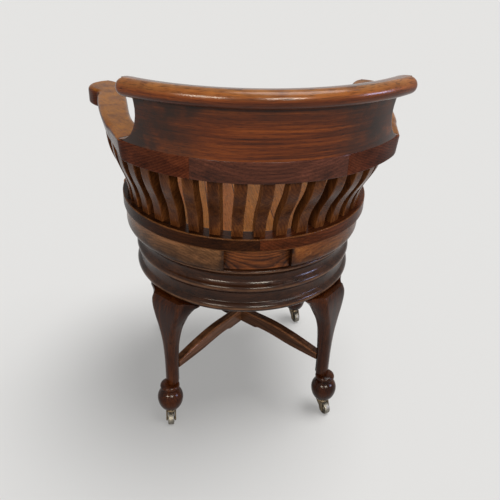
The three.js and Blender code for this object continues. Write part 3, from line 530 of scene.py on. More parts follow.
arm = bar(arm_stations(), HOOP_UNDERSIDE, HOOP_THICKNESS)
arm_wear = wear_and_shade_of(arm)
# The top is rubbed from the crest's foot onwards; beside the foot, and on the sides and underside, the arm is
# darkened as painted shade.
for corner in arm.verts:
    lifted = (corner.co.z - HOOP_UNDERSIDE) / HOOP_THICKNESS
    turned = math.degrees(math.atan2(corner.co.x - PIVOT.x, corner.co.y - PIVOT.y - HOOP_SET_BACK))
    rubbed = mix(ARM_SHADE, 1.0, reached(turned, CREST_FOOT_ANGLE - 4, CREST_FOOT_ANGLE))
    corner[arm_wear] = rubbed if lifted > 0.93 else 0.25 * corner[arm_wear] + ARM_SHADE
for side, form, turn, pith in (("left", arm, 60, (0, 0.06, -0.36)),
                               ("right", mirror_copy(arm), -60, (0, 0.02, -0.33))):
    arm_oak = oak(f"arm oak {side}", (0.017, 0.0047, 0.0025), (0.049, 0.012, 0.0055), (0.095, 0.026, 0.011),
                  pith, (0, 0, turn), ring=0.0032, rings=0.22, patch=0.4, worn=(0.21, 0.074, 0.004), wear=0.97,
                  shine=0.03)
    part(f"arm_{side}_oak", form, arm_oak, "seat", "dark_oak", f"arm_{side}")

# Splats and arm posts: flat staves band-sawn to an ogee and raked back, tenoned into the lower rail and the
# horseshoe. The two posts by the sitter's sides are wider and thicker.
RAIL_RADIUS = 242 * MM
RAIL_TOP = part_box("lower_rail_left")[1].z
SPLAT_COUNT = 17
SPLAT_PITCH = 9.4
SPLAT_WIDTH = 19.6 * MM
SPLAT_DEPTH = 21 * MM
SPLAT_FOOT_INSET = 10.5 * MM
SPLAT_HEAD_INSET = 22 * MM
OGEE_SHARE = 0.62
POST_ANGLE = 88.5
POST_WIDTH = 36 * MM
POST_DEPTH = 26 * MM
STAVE_STEPS = 32


def horseshoe_radius(angle):
    """Radius of the horseshoe's outer edge about the hoop's centre, in the direction of an angle."""
    if abs(angle) <= ARM_SPLIT_ANGLE:
        return HOOP_RADIUS
    centre = polar(0, 0, HOOP_SET_BACK)
    edges = [outer - centre for _, outer, *_ in arm_stations()]
    bearings = [math.degrees(math.atan2(edge.x, edge.y)) for edge in edges]
    after = next(k for k, bearing in enumerate(bearings) if bearing >= abs(angle))
    share = (abs(angle) - bearings[after - 1]) / (bearings[after] - bearings[after - 1])
    return edges[after - 1].lerp(edges[after], share).length


def stave(name, angle, width, depth, paint):
    foot = polar(RAIL_RADIUS - SPLAT_FOOT_INSET, angle)
    rim = horseshoe_radius(angle)
    head = polar(rim - min(SPLAT_HEAD_INSET, rim - HOOP_RADIUS + HOOP_WIDTH - depth), angle, HOOP_SET_BACK)
    outward = (polar(1, angle) - polar(0, 0)).normalized()
    across = Vector((outward.y, -outward.x))
    section = moulded(width, depth, [ARRIS] * 4, 3, 1.2 * MM)
    rings = []
    for share in evenly(0, 1, STAVE_STEPS):
        spot = foot.lerp(head, share - OGEE_SHARE * math.sin(math.tau * share) / math.tau)
        height = mix(RAIL_TOP, HOOP_UNDERSIDE, share)
        rings.append([((*(spot + across * (u - width / 2) + outward * (v - depth)), height), worn)
                      for u, v, worn in section])
    part(name + "_oak", drawn(bmesh.new(), rings), paint, "seat", "dark_oak", name)


splat_oak = oak("splat oak", (0.021, 0.007, 0.0026), (0.056, 0.018, 0.0059), (0.11, 0.039, 0.011),
                grain=(0, 90, 0), pith=(0, 0.2, 0.3), ring=0.0035, rings=0.16, patch=0.4, gloss=0.16, wear=0.12,
                shine=0.05)
for k in range(SPLAT_COUNT):
    stave(f"splat_{k + 1:02d}", (k - (SPLAT_COUNT - 1) / 2) * SPLAT_PITCH, SPLAT_WIDTH, SPLAT_DEPTH, splat_oak)
stave("arm_post_left", POST_ANGLE, POST_WIDTH, POST_DEPTH, splat_oak)
stave("arm_post_right", -POST_ANGLE, POST_WIDTH, POST_DEPTH, splat_oak)

# Lower rail: two halves sawn from flat oak boards, butted at the middle of the back, housing the splats. The
# left half took the stain darker than the right.
RAIL_WIDTH = 31 * MM
RAIL_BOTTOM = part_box("lower_rail_left")[0].z
RAIL_END_ANGLE = 99
RAIL_STEPS = 64
rail_joint = math.degrees(SEAM / RAIL_RADIUS)
rail_stations = [(polar(RAIL_RADIUS - RAIL_WIDTH, angle), polar(RAIL_RADIUS, angle), [ARRIS] * 4)
                 for angle in evenly(rail_joint, RAIL_END_ANGLE, RAIL_STEPS)]
rail = bar(rail_stations, RAIL_BOTTOM, RAIL_TOP - RAIL_BOTTOM)
for side, form, turn, pith, *tones in (
        ("left", rail, 35, (0, 0.1, -0.2),
         (0.0053, 0.0018, 0.00072), (0.015, 0.0047, 0.0016), (0.032, 0.0099, 0.0032)),
        ("right", mirror_copy(rail), -35, (0, 0.13, -0.24),
         (0.016, 0.0043, 0.0017), (0.042, 0.011, 0.0034), (0.083, 0.021, 0.0068))):
    rail_oak = oak(f"rail oak {side}", *tones, pith, (0, 0, turn), gloss=0.2, shine=0.05)
    part(f"lower_rail_{side}_oak", form, rail_oak, "seat", "dark_oak", f"lower_rail_{side}")

# Seat: six boards of golden oak, quarter sawn and left paler than the rest, glued edge to edge with joints that
# have gone dark. They are let into the lower rail and come out past it to a full round front.
SEAT_FRONT_RADIUS = 247 * MM
SEAT_ROUNDING = 4 * MM
SEAT_STEPS = 96
SEAT_BOTTOM, SEAT_TOP = (corner.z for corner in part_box("seat_board"))
BOARDS_HALF_SPAN = 0.25
JOINT_SHARE = 0.0025
JOINT_TINT = (0.25, 0.2, 0.18)
GOLD, GREY, ROSY = (1.0, 1.04, 0.85), (0.9, 0.92, 0.9), (1.02, 0.96, 0.98)
GAP = 2 * SEAM
MOST_SIDE_CORNERS = 20
BOARD_TINTS = [(0.257, GREY), (0.4275, GOLD), (0.547, ROSY), (0.657, GOLD), (0.745, ROSY)]


def raised(form, points, step):
    """Draws a face through points out to a solid. Gives the face and the corners of the far side."""
    face = form.faces.new([form.verts.new(point) for point in points])
    grown = bmesh.ops.extrude_face_region(form, geom=[face])["geom"]
    far = [item for item in grown if isinstance(item, bmesh.types.BMVert)]
    bmesh.ops.translate(form, vec=step, verts=far)
    return face, far


def soften(form, edges, rounding, segments=2):
    """Rounds edges over and marks them as rubbed."""
    rounded = bmesh.ops.bevel(form, geom=edges, offset=rounding, offset_type="OFFSET", segments=segments,
                              profile=0.5, affect="EDGES", clamp_overlap=True, material=-1)
    wear = wear_and_shade_of(form)
    for corner in rounded["verts"]:
        corner[wear] = 1.0


def slab(outline, bottom, top, rounding, segments, margin, upright):
    """A flat board of any plan outline with softened edges, the upright ones too where that is asked. A margin
    round each flat side keeps it flat."""
    form = bmesh.new()
    wear_and_shade_of(form)
    raised(form, [(*spot, bottom) for spot in outline], (0, 0, top - bottom))
    bmesh.ops.recalc_face_normals(form, faces=form.faces)
    sharp = [edge for edge in form.edges if edge.calc_face_angle(0) > SMOOTH_ANGLE
             and (upright or abs(edge.verts[0].co.z - edge.verts[1].co.z) < 1e-6)]
    soften(form, sharp, rounding, segments)
    flats = [face for face in form.faces if len(face.verts) > MOST_SIDE_CORNERS]
    bmesh.ops.inset_region(form, faces=flats, thickness=margin)
    return form


golden_oak = oak("golden oak", (0.091, 0.025, 0.0024), (0.18, 0.05, 0.0053), (0.28, 0.085, 0.0096),
                 grain=(0, 0, 90), pith=(0, 0.3, -0.1), ring=0.003, rings=0.2, figure=0.6, gloss=0.2,
                 worn=(0.2, 0.08, 0.025), wear=0.5, shine=0.05)
seat_tree = golden_oak.node_tree
seat_skin = seat_tree.nodes["Principled BSDF"]
seat_place = node(seat_tree, "SeparateXYZ", {0: node(seat_tree, "TexCoord").outputs["Object"]}).outputs["X"]
boards = node(seat_tree, "MapRange", {"Value": seat_place, 1: -BOARDS_HALF_SPAN, 2: BOARDS_HALF_SPAN})
stops = [(0.0, GOLD)]
for share, tint in BOARD_TINTS:
    stops += [(share - JOINT_SHARE, JOINT_TINT), (share, tint)]
tints = ramp(boards.outputs["Result"], *stops, interpolation="CONSTANT")
bare = seat_skin.inputs["Base Color"].links[0].from_socket
feed(seat_skin, {"Base Color": blended("MULTIPLY", 1, bare, tints)})
back_radius = RAIL_RADIUS - RAIL_WIDTH - GAP
step_angle = RAIL_END_ANGLE + math.degrees(GAP / RAIL_RADIUS)
outline = [polar(back_radius, angle) for angle in evenly(-RAIL_END_ANGLE, RAIL_END_ANGLE, SEAT_STEPS)]
outline += [polar(SEAT_FRONT_RADIUS, angle) for angle in evenly(step_angle, 360 - step_angle, SEAT_STEPS)]
seat = slab(outline, SEAT_BOTTOM, SEAT_TOP, SEAT_ROUNDING, segments=5, margin=2 * MM, upright=False)
part("seat_board_oak", seat, golden_oak, "seat", "golden_oak", "seat_board")

# Seat frame: a thick bearer from back to front, whose figured end shows at the back, and a curved felloe
# screwed on at each side of it, its lower outer edge rounded away. The felloes' rounded undersides, their ends
# beside the bearer, and the bearer's top and sides are darkened as painted shade.
BEARER_WIDTH = 119.4 * MM
BEARER_RADIUS = 219 * MM
FELLOE_WIDTH = 66 * MM
FELLOE_ROUNDING = 15 * MM
LEFT_FELLOE_RADIUS = 238 * MM
RIGHT_FELLOE_RADIUS = 233 * MM
FRAME_BOTTOM, FRAME_TOP = (corner.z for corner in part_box("seat_bearer"))
FELLOE_STEPS = 72
BEARER_STEPS = 24
# How dark the painted shade is under the felloes, at their ends beside the bearer, and on the bearer's top and
# sides.
UNDERSIDE_SHADE, JOINT_SHADE, BEARER_SHADE = -0.85, -1.0, -0.8


def round_ended(half_width, radius):
    """Plan outline with straight sides and ends struck at one radius."""
    edge = math.degrees(math.asin(half_width / radius))
    return [polar(radius, turn + angle) for turn in (0, 180) for angle in evenly(-edge, edge, BEARER_STEPS)]


def felloe(radius):
    side = BEARER_WIDTH / 2 + GAP
    radii = (radius - FELLOE_WIDTH, radius)
    starts = [math.degrees(math.asin(side / r)) for r in radii]
    stations = []
    for share in evenly(0, 1, FELLOE_STEPS):
        inner, outer = (polar(r, mix(start, 180 - start, share)) for r, start in zip(radii, starts))
        stations.append((inner, outer, [ARRIS, FELLOE_ROUNDING, ARRIS, ARRIS]))
    form = bar(stations, FRAME_BOTTOM, FRAME_TOP - FRAME_BOTTOM, 6)
    wear = wear_and_shade_of(form)
    # Painted shade on the rounded underside and at the ends beside the bearer; the upper edges keep some wear.
    for corner in form.verts:
        lifted = (corner.co.z - FRAME_BOTTOM) / FELLOE_ROUNDING
        corner[wear] = 0.4 * corner[wear] if lifted > 1.2 else UNDERSIDE_SHADE
        if corner.co.x - PIVOT.x < side + 2 * MM:
            corner[wear] = JOINT_SHADE
    return form


bearer_oak = oak("bearer oak", (0.015, 0.0047, 0.0022), (0.073, 0.022, 0.0066), (0.18, 0.055, 0.014),
                 pith=(0, -0.13, -0.41), ring=0.0034, rings=0.35, figure=0.35, patch=0.5, gloss=0.18)
bearer_outline = round_ended(BEARER_WIDTH / 2, BEARER_RADIUS)
bearer = slab(bearer_outline, FRAME_BOTTOM, FRAME_TOP, ARRIS, segments=2, margin=1.5 * MM, upright=True)
bearer_wear = wear_and_shade_of(bearer)
# Painted shade, darker towards the top under the seat and towards the sides by the felloes.
for corner in bearer.verts:
    up = (corner.co.z - FRAME_BOTTOM) / (FRAME_TOP - FRAME_BOTTOM)
    aside = abs(corner.co.x - PIVOT.x) / (BEARER_WIDTH / 2)
    corner[bearer_wear] = BEARER_SHADE * max(up, aside ** 6)
part("seat_bearer_oak", bearer, bearer_oak, "seat", "frame_oak", "seat_bearer")
for side, form, turn, pith, figure, patch, *tones in (
        ("left", felloe(LEFT_FELLOE_RADIUS), 40, (0, 0.05, -0.6), 0.35, 0.35,
         (0.039, 0.017, 0.0071), (0.1, 0.047, 0.02), (0.2, 0.092, 0.041)),
        ("right", mirror_copy(felloe(RIGHT_FELLOE_RADIUS)), -40, (0, 0.09, -0.55), 0.3, 0.45,
         (0.05, 0.015, 0.0035), (0.14, 0.043, 0.01), (0.22, 0.081, 0.019))):
    felloe_oak = oak(f"felloe oak {side}", *tones, pith, (0, 0, turn), figure=figure, patch=patch, gloss=0.18)
    part(f"side_felloe_{side}_oak", form, felloe_oak, "seat", "frame_oak", f"side_felloe_{side}")

# Base ring: a heavy oak ring turned with a rounded top edge, a hollow, a middle bead, a flat band and a low
# bead. A cross bearer let into it from below carries the swivel.
RING_RADIUS = 222 * MM
RING_BORE = 150 * MM
RING_BOTTOM, RING_TOP = (corner.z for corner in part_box("base_ring"))
RING_PROFILE = [
    (0.16, 0), (0.13, 0), (0.06, 0.015), (0.015, 0.05), (0, 0.1), (0.02, 0.15), (0.075, 0.19), (0.11, 0.215),
    (0.125, 0.31), (0.12, 0.42), (0.08, 0.46), (0.03, 0.495), (0.013, 0.545), (0.035, 0.6), (0.1, 0.635),
    (0.15, 0.69), (0.165, 0.77), (0.145, 0.84), (0.095, 0.89), (0.04, 0.92), (0.01, 0.95), (0.015, 0.985),
    (0.05, 1.0), (0.09, 1.0),
]
BEAD_HEIGHTS = (0.1, 0.545, 0.95)
BEAD_WEAR_REACH = 0.035
RING_STEPS = 144


def spun(profile, steps, centre=(0, 0), form=None):
    """Turns a profile of (radius, height, wear) round an upright axis through a plan point, into a form or a new
    one."""
    form = form or bmesh.new()
    wear = wear_and_shade_of(form)
    corners = []
    for radius, height, worn in profile:
        corner = form.verts.new((centre[0] + radius, centre[1], height))
        corner[wear] = worn
        corners.append(corner)
    edges = [form.edges.new(pair) for pair in zip(corners, corners[1:])]
    bmesh.ops.spin(form, geom=corners + edges, cent=(centre[0], centre[1], 0), axis=(0, 0, 1), angle=math.tau,
                   steps=steps, use_merge=True)
    bmesh.ops.remove_doubles(form, verts=form.verts, dist=1e-6)
    bmesh.ops.recalc_face_normals(form, faces=form.faces)
    return form


ring_oak = oak("ring oak", (0.0075, 0.003, 0.0015), (0.019, 0.007, 0.0032), (0.037, 0.014, 0.0063),
               grain=(0, 0, 12), pith=(0, -0.08, -0.25), ring=0.0045, rings=0.12, worn=(0.2, 0.1, 0.05), wear=0.5,
               shine=0.18)
profile = []
for drawn_in, rise in eased(RING_PROFILE, 3):
    worn = max(0, 1 - min(abs(rise - bead) for bead in BEAD_HEIGHTS) / BEAD_WEAR_REACH)
    radius = RING_RADIUS - drawn_in * (RING_RADIUS - RING_BORE)
    profile.append((radius, mix(RING_BOTTOM, RING_TOP, reached(rise, 0, 1)), worn))
profile += [(RING_BORE, RING_TOP, 0.3), (RING_BORE, RING_BOTTOM, 0.3), profile[0]]
base_ring = spun(profile, RING_STEPS, (PIVOT.x, PIVOT.y))
part("base_ring_oak", base_ring, ring_oak, "base", "dark_oak", "base_ring")

# Cabriole legs: each sawn from the solid with a square knee, ears brought out under the ring on both sides, a
# slim rounded ankle, then a collar and an egg-shaped ball foot turned on the same piece.
LEG_ANGLES = {"rear_left": 45, "rear_right": -45, "front_left": 135, "front_right": -135}
FOOT_RADIUS = 231 * MM
BALL_RADIUS = 26.4 * MM
BALL_DROP = 34.5 * MM
BALL_FLAT_SHARE = 0.89
COLLAR_RADIUS = 20 * MM
COLLAR_HEIGHT = 15.4 * MM
COLLAR_NECK_SHARE = 0.76
ANKLE_RADIUS = 223 * MM
ANKLE_SIZE = 24.5 * MM
KNEE_REACH = 238 * MM
KNEE_SHOULDER = 7 * MM
KNEE_WIDTH = 72 * MM
BRACKET_REACH = 163 * MM
EAR_SPAN = 28 * MM
EAR_SET_BACK = 16 * MM
EAR_TIP = 12 * MM
EAR_HOLLOW = 2 * MM
FOOT_BOTTOM, LEG_TOP = (corner.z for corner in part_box("leg_rear_left"))
BALL_HEIGHT = FOOT_BOTTOM + BALL_FLAT_SHARE * BALL_DROP
BALL_TOP_TURN = math.acos(COLLAR_RADIUS * COLLAR_NECK_SHARE / BALL_RADIUS)
BALL_TOP = BALL_HEIGHT + BALL_RADIUS * math.sin(BALL_TOP_TURN)
COLLAR_TOP = BALL_TOP + COLLAR_HEIGHT
COLLAR_SHARES = [(0.76, 0), (0.78, 0.14), (0.95, 0.36), (1.0, 0.58), (0.9, 0.84), (0.6, 0.97), (0, 1)]
LEG_SHARES = [
    (0.0, 0.0, 0, 0, 0.0, 0), (0.13, 0.0, 0, 0, 0, 0), (0.3, 0.04, 0, 0.02, 0.03, 0), (0.49, 0.38, 0, 0.06, 0.14, 0),
    (0.66, 0.86, 0, 0.12, 0.4, 0), (0.77, 1.0, 0, 0.24, 0.68, 0.05), (0.87, 1.0, 0.05, 0.42, 0.9, 0.27),
    (0.94, 1.0, 0.3, 0.66, 1.0, 0.58), (0.98, 1.0, 0.7, 0.85, 1.0, 0.92), (1.0, 1.0, 1, 1, 1, 1),
]
QUARTER_TURNS = [math.radians(turn) for turn in (0, 22, 45, 68, 90)]
FOOT_STEPS = 48
BALL_STEPS = 24
BALL_RUBBED_STEPS = (0, 11, 12, 13)


def leg_ring(height, knee, shoulder, bracket, width, ear):
    """Section of the leg: one half from the inner face out through the ear to the knee's face, then the other."""
    outer = mix(ANKLE_RADIUS + ANKLE_SIZE / 2, KNEE_REACH, knee) - KNEE_SHOULDER * shoulder
    inner = mix(ANKLE_RADIUS - ANKLE_SIZE / 2, BRACKET_REACH, bracket)
    half = mix(ANKLE_SIZE, KNEE_WIDTH, width) / 2
    corner = min(2 * half, outer - inner) * mix(0.4, 0.09, width)
    edge = outer - corner
    ear = max(0, ear)
    across = half + ear * EAR_SPAN
    tip = edge - mix((outer - inner - 2 * corner) / 2, EAR_SET_BACK, ear)
    tip_back = tip - mix((outer - inner - 2 * corner) / 4, EAR_TIP, ear)
    soft = mix(0.3, 1.6, ear) * MM
    side = [(half * share, inner, 0) for share in (0.25, 0.6)]
    side += [(half - corner + corner * math.sin(turn), inner + corner - corner * math.cos(turn), 0.6)
             for turn in QUARTER_TURNS]
    side += [(across - soft * 0.3, tip_back, 0.2), (across, tip_back + soft, 0.8), (across, tip - soft, 0.8)]
    side += [(mix(across, half, share), mix(tip, edge, share) - ear * EAR_HOLLOW * 4 * share * (1 - share), 0)
             for share in (0.06, 0.3, 0.55, 0.8)]
    side += [(half - corner + corner * math.cos(turn), edge + corner * math.sin(turn), 1) for turn in QUARTER_TURNS]
    side += [(max(0, half - corner) * share, outer + bow * MM, 0) for share, bow in ((0.8, 0.1), (0.3, 0.3))]
    other = [(-x, y, worn) for x, y, worn in reversed(side)]
    z = mix(COLLAR_TOP - ARRIS, LEG_TOP, height)
    return [((PIVOT.x + x, PIVOT.y + y, z), worn) for x, y, worn in side + other]


def turned_by(form, angle, axis="Z", centre=(PIVOT.x, PIVOT.y, 0)):
    """Turns a form by degrees about an axis through a centre."""
    bmesh.ops.rotate(form, cent=centre, matrix=Matrix.Rotation(math.radians(angle), 3, axis), verts=form.verts)
    return form


def leg(angle):
    form = drawn(bmesh.new(), [leg_ring(*row) for row in eased(LEG_SHARES, 7)])
    foot = [(0, FOOT_BOTTOM, 0), (10 * MM, FOOT_BOTTOM, 0)]
    for k, turn in enumerate(evenly(-math.asin(BALL_FLAT_SHARE), BALL_TOP_TURN, BALL_STEPS)):
        rise = (BALL_DROP if turn < 0 else BALL_RADIUS) * math.sin(turn)
        foot.append((BALL_RADIUS * math.cos(turn), BALL_HEIGHT + rise, 0.6 if k in BALL_RUBBED_STEPS else 0.1))
    for out, rise in eased(COLLAR_SHARES, 4)[1:]:
        foot.append((COLLAR_RADIUS * max(0, out), mix(BALL_TOP, COLLAR_TOP, rise), 0.8 if out > 0.94 else 0.1))
    return turned_by(spun(foot, FOOT_STEPS, (PIVOT.x, PIVOT.y + FOOT_RADIUS), form), -angle)


leg_oak = oak("leg oak", (0.0049, 0.0012, 0.00029), (0.017, 0.0037, 0.00073), (0.04, 0.0097, 0.0016),
              grain=(0, 90, 0), pith=(0.3, 0.02, 0.1), rings=0.16, patch=0.5, gloss=0.06, worn=(0.12, 0.045, 0.02),
              wear=0.14, shine=0.15)
for corner_name, angle in LEG_ANGLES.items():
    part(f"leg_{corner_name}_oak", leg(angle), leg_oak, "base", "dark_oak", f"leg_{corner_name}")

# Stretchers: two flat oak bars tenoned into the ankles and halved over one another, each sawn to a low arch with
# a small step underneath on both sides of the crossing.
STRETCHER_WIDTH = 18 * MM
STRETCHER_BOTTOM, STRETCHER_TOP = (corner.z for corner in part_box("stretcher_lower"))
STRETCHER_END_DEPTH = 15 * MM
STRETCHER_CENTRE_DEPTH = 32 * MM
STRETCHER_STEPS = 120
STRETCHER_TOP_SHARES = [(0, 0.93), (0.2, 0.96), (0.44, 1.0), (0.67, 0.72), (0.86, 0.33), (1.0, 0)]
STRETCHER_UNDER_SHARES = [
    (0, 0.33), (0.205, 0.33), (0.23, 0.36), (0.262, 0.88), (0.33, 1.0), (0.41, 0.94), (0.52, 0.66), (0.67, 0.2),
    (0.86, 0.03), (1.0, 0),
]


def level(curve, along):
    """Height share of a drawn curve at a share of the way along it."""
    after = next((k for k, spot in enumerate(curve) if spot[0] >= along), len(curve) - 1)
    a, b = curve[max(after - 1, 0)], curve[after]
    return b[1] if b[0] == a[0] else mix(a[1], b[1], reached(along, a[0], b[0]))


def stretcher(lap_side, turn):
    """A bar along x before it is turned. lap_side is 1 where the other bar passes over it, -1 where under."""
    top_curve = eased(STRETCHER_TOP_SHARES, 8)
    under_curve = eased(STRETCHER_UNDER_SHARES, 6)
    low_corner, high_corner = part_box("stretcher_lower")
    half = math.hypot(*(high_corner - low_corner)[:2]) / 2 - STRETCHER_WIDTH / 2
    end_top = STRETCHER_BOTTOM + STRETCHER_END_DEPTH
    under_rise = (STRETCHER_TOP - STRETCHER_CENTRE_DEPTH - STRETCHER_BOTTOM) / STRETCHER_UNDER_SHARES[0][1]
    lap = (STRETCHER_WIDTH / 2 + GAP) / half
    middle = STRETCHER_TOP - STRETCHER_CENTRE_DEPTH / 2
    rings = []
    for along in sorted([*evenly(-1, 1, STRETCHER_STEPS), -lap, lap]):
        top = mix(end_top, STRETCHER_TOP, level(top_curve, abs(along)))
        under = STRETCHER_BOTTOM + under_rise * level(under_curve, abs(along))
        cut = (under, middle - SEAM) if lap_side > 0 else (middle + SEAM, top)
        spans = [(under, top)] if abs(along) > lap + 1e-6 else [cut]
        if abs(abs(along) - lap) < 1e-6:
            spans = [(under, top), cut] if along < 0 else [cut, (under, top)]
        for low, high in spans:
            section = moulded(STRETCHER_WIDTH, high - low, [2 * ARRIS] * 4, 3, 1 * MM)
            rings.append([((PIVOT.x + along * half, PIVOT.y + u - STRETCHER_WIDTH / 2, low + v), worn)
                          for u, v, worn in section])
    return turned_by(drawn(bmesh.new(), rings), turn)


# The two bars are one oak: the lower bar's colour is twice as light as the upper's, as a painted highlight along it.
for name, lap_side, turn, pith, *tones in (
        ("stretcher_lower", 1, 45, (0, 0.02, -0.1),
         (0.019, 0.008, 0.0042), (0.07, 0.03, 0.014), (0.14, 0.062, 0.034)),
        ("stretcher_upper", -1, 135, (0, 0.03, -0.1),
         (0.0095, 0.004, 0.0023), (0.035, 0.015, 0.0075), (0.07, 0.032, 0.018))):
    stretcher_oak = oak(name + " oak", *tones, pith, (0, 0, -45 * lap_side), rings=0.16,
                        worn=(0.26, 0.11, 0.05))
    part(name + "_oak", stretcher(lap_side, turn), stretcher_oak, "base", "dark_oak", name)

# Castors: small cast brass ones gone brown, each a plate and pin under the foot, a horn with two cheeks that
# turns on the pin, and a wheel on a riveted axle, its tread rubbed bright.
CASTOR_HEADINGS = {"rear_left": 2, "rear_right": -22, "front_left": 14, "front_right": -16}
CASTOR_TRAIL = 11 * MM
WHEEL_RADIUS = 13.5 * MM
WHEEL_WIDTH = 12 * MM
AXLE_RADIUS = 2.5 * MM
EYE_RADIUS = 5.2 * MM
CHEEK_THICKNESS = 3 * MM
CHEEK_GAP = 14.4 * MM
CROWN_RADIUS = 11.8 * MM
CROWN_BOTTOM = 28.4 * MM
CROWN_TOP = 32 * MM
PLATE_RADIUS = 12.6 * MM
PLATE_TOP = FOOT_BOTTOM - GAP
PLATE_BOTTOM = PLATE_TOP - 2.2 * MM
PIN_RADIUS = 3.6 * MM
PIN_HOLE = PIN_RADIUS + GAP
CASTOR_STEPS = 40
WHEEL_STEPS = 48
AXLE_STEPS = 24
EYE_TURNS = (math.radians(155), math.radians(370))
EYE_STEPS = 16


def metal(name, dull, bright, rust, gloss, wear=0.8):
    """Old cast metal: a dark skin with bright rubbed places and spots of tarnish, its grain a fine pitting."""
    paint, tree, skin = new_paint(name)
    place = node(tree, "TexCoord").outputs["Object"]

    def between(scale, detail, low, high, a, b):
        """Noise whose levels from low to high run from a to b."""
        spots = noise(place, scale, detail, 0.5)
        return node(tree, "MapRange", {"Value": spots, 1: low, 2: high, 3: a, 4: b}).outputs["Result"]

    rub = node(tree, "Attribute", attribute_name="wear").outputs["Fac"]
    rubbed = maths("MULTIPLY", rub, between(300, 3, 0.35, 0.6, 0.4 * wear, wear))
    patchy = blended("MIX", between(160, 4, 0.45, 0.65, 0, 1), dull, rust)
    pitting = node(tree, "Bump", {"Strength": 0.3, "Distance": 0.0003, "Height": noise(place, 900, 4, 0.5)})
    feed(skin, {"Base Color": blended("MIX", rubbed, patchy, bright), "Metallic": 0.9,
                "Roughness": between(420, 3, 0.3, 0.7, gloss, gloss + 0.25), "Normal": pitting.outputs["Normal"]})
    return paint


def settled(form, corner_name, ahead):
    """Takes a castor piece made round the origin to its foot and turns it to its heading."""
    bmesh.ops.translate(form, vec=(0, ahead, 0), verts=form.verts)
    turned_by(form, -CASTOR_HEADINGS[corner_name], centre=(0, 0, 0))
    bmesh.ops.translate(form, vec=(*polar(FOOT_RADIUS, LEG_ANGLES[corner_name]), 0), verts=form.verts)
    return form


def on_axle(form):
    """Lays a piece turned about the upright axis across, at the height of the axle."""
    turned_by(form, 90, "Y", (0, 0, 0))
    bmesh.ops.translate(form, vec=(0, 0, WHEEL_RADIUS), verts=form.verts)
    return form


def castor_plate():
    profile = [(0, CROWN_BOTTOM, 0), (PIN_RADIUS, CROWN_BOTTOM, 0), (PIN_RADIUS, PLATE_BOTTOM, 0),
               (PLATE_RADIUS - 0.6 * MM, PLATE_BOTTOM, 0), (PLATE_RADIUS, PLATE_BOTTOM + 0.6 * MM, 1),
               (PLATE_RADIUS - 0.3 * MM, PLATE_TOP - 0.8 * MM, 1), (PLATE_RADIUS - 1.2 * MM, PLATE_TOP, 0.4),
               (0, PLATE_TOP, 0)]
    return spun(profile, CASTOR_STEPS)


def castor_horn():
    """Crown on the pin with a rounded rim, and two cheeks that lean back to the axle's eyes."""
    crown = [(PIN_HOLE, CROWN_BOTTOM, 0), (CROWN_RADIUS - 0.8 * MM, CROWN_BOTTOM, 0),
             (CROWN_RADIUS, CROWN_BOTTOM + 0.8 * MM, 1), (CROWN_RADIUS - 0.2 * MM, CROWN_TOP - 1.2 * MM, 1),
             (CROWN_RADIUS - 1.6 * MM, CROWN_TOP, 0.5), (PIN_HOLE, CROWN_TOP, 0)]
    form = spun(crown + crown[:1], CASTOR_STEPS)
    back, front, cheek_top = -0.8 * CROWN_RADIUS, 0.9 * CROWN_RADIUS, CROWN_TOP - 1 * MM
    eye = [(CASTOR_TRAIL + EYE_RADIUS * math.cos(turn), WHEEL_RADIUS + EYE_RADIUS * math.sin(turn))
           for turn in evenly(*EYE_TURNS, EYE_STEPS)]
    outline = [(back, cheek_top), (back + 0.4 * MM, CROWN_BOTTOM - 1 * MM), *eye, (front, CROWN_BOTTOM),
               (front, cheek_top)]
    for side in (-1, 1):
        start = side * (CHEEK_GAP / 2 + CHEEK_THICKNESS / 2) - CHEEK_THICKNESS / 2
        face, far = raised(form, [(start, y, z) for y, z in outline], (CHEEK_THICKNESS, 0, 0))
        rims = {edge for v in far + list(face.verts) for edge in v.link_edges
                if abs(edge.verts[0].co.x - edge.verts[1].co.x) < 1e-7}
        soften(form, list(rims), 0.7 * MM)
    bmesh.ops.recalc_face_normals(form, faces=form.faces)
    return form


def castor_axle():
    """Riveted at both ends into low domes that stand just inside the cheeks' faces."""
    half = CHEEK_GAP / 2 + CHEEK_THICKNESS
    head = [(0, half, 0.6), (1.4 * MM, half - 0.1 * MM, 0.6), (AXLE_RADIUS, half - 0.8 * MM, 0.2)]
    profile = [(radius, -up, worn) for radius, up, worn in head] + head[::-1]
    return on_axle(spun(profile, AXLE_STEPS))


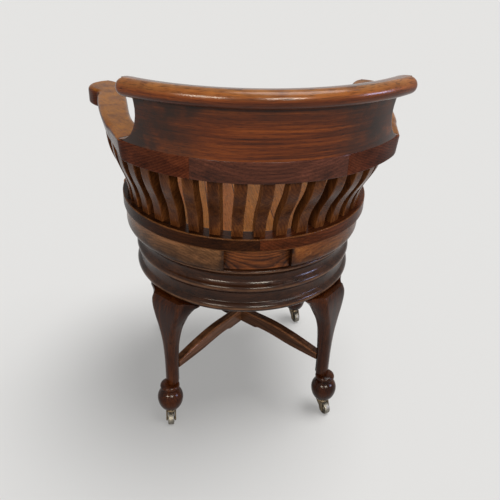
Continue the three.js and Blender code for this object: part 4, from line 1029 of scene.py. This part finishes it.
def castor_wheel():
    """Turned with a crowned tread, hollowed sides and a hub round the axle."""
    half = WHEEL_WIDTH / 2
    side = [(AXLE_RADIUS + GAP, half, 0.1), (5.4 * MM, half, 0.3), (6 * MM, half - 1.2 * MM, 0),
            (10.4 * MM, half - 1.4 * MM, 0), (11 * MM, half, 0.3), (12.2 * MM, half - 0.1 * MM, 0.7),
            (13.1 * MM, half - 1.2 * MM, 1), (13.4 * MM, half - 3 * MM, 1), (WHEEL_RADIUS, 0, 1)]
    profile = side + [(radius, -up, worn) for radius, up, worn in reversed(side[:-1])] + side[:1]
    return on_axle(spun(profile, WHEEL_STEPS))


brown_brass = metal("brown brass", (0.05, 0.038, 0.024), (0.2, 0.155, 0.1), (0.03, 0.022, 0.015), 0.42)
worn_brass = metal("worn brass", (0.08, 0.07, 0.055), (0.24, 0.225, 0.19), (0.05, 0.04, 0.03), 0.38, 1.0)
for corner_name in LEG_ANGLES:
    for kind, form, stuff, paint, body, ahead in (
            ("plate", castor_plate(), "brass", brown_brass, "base", 0),
            ("horn", castor_horn(), "brass", brown_brass, f"castor_{corner_name}", 0),
            ("axle", castor_axle(), "steel", worn_brass, f"castor_{corner_name}", CASTOR_TRAIL),
            ("wheel", castor_wheel(), "brass", worn_brass, f"wheel_{corner_name}", CASTOR_TRAIL)):
        name = f"castor_{kind}_{corner_name}"
        part(f"{name}_{stuff}", settled(form, corner_name, ahead), paint, body, stuff, name)

# Swivel: a cast iron plate on the oak cross bearer, a steel spindle nutted through it, a brass thrust washer,
# and the socket plate under the seat bearer. The ring hides all of it unless the chair is seen from below.
cross_oak = oak("cross oak", (0.05, 0.025, 0.013), (0.14, 0.075, 0.036), (0.26, 0.15, 0.075),
                pith=(0, 0.07, -0.1), rings=0.2, patch=0.4, gloss=0.42)
cast_iron = metal("cast iron", (0.035, 0.033, 0.031), (0.16, 0.15, 0.14), (0.07, 0.035, 0.02), 0.5)
bright_steel = metal("bright steel", (0.3, 0.28, 0.25), (0.55, 0.53, 0.5), (0.12, 0.08, 0.055), 0.3)
for paint, names in ((cross_oak, ["cross_bearer"]), (cast_iron, ["swivel_bottom_plate", "swivel_top_plate"]),
                     (bright_steel, ["spindle", "spindle_nut"]), (brown_brass, ["thrust_washer"])):
    for name in names:
        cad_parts[name].data.materials[0] = paint
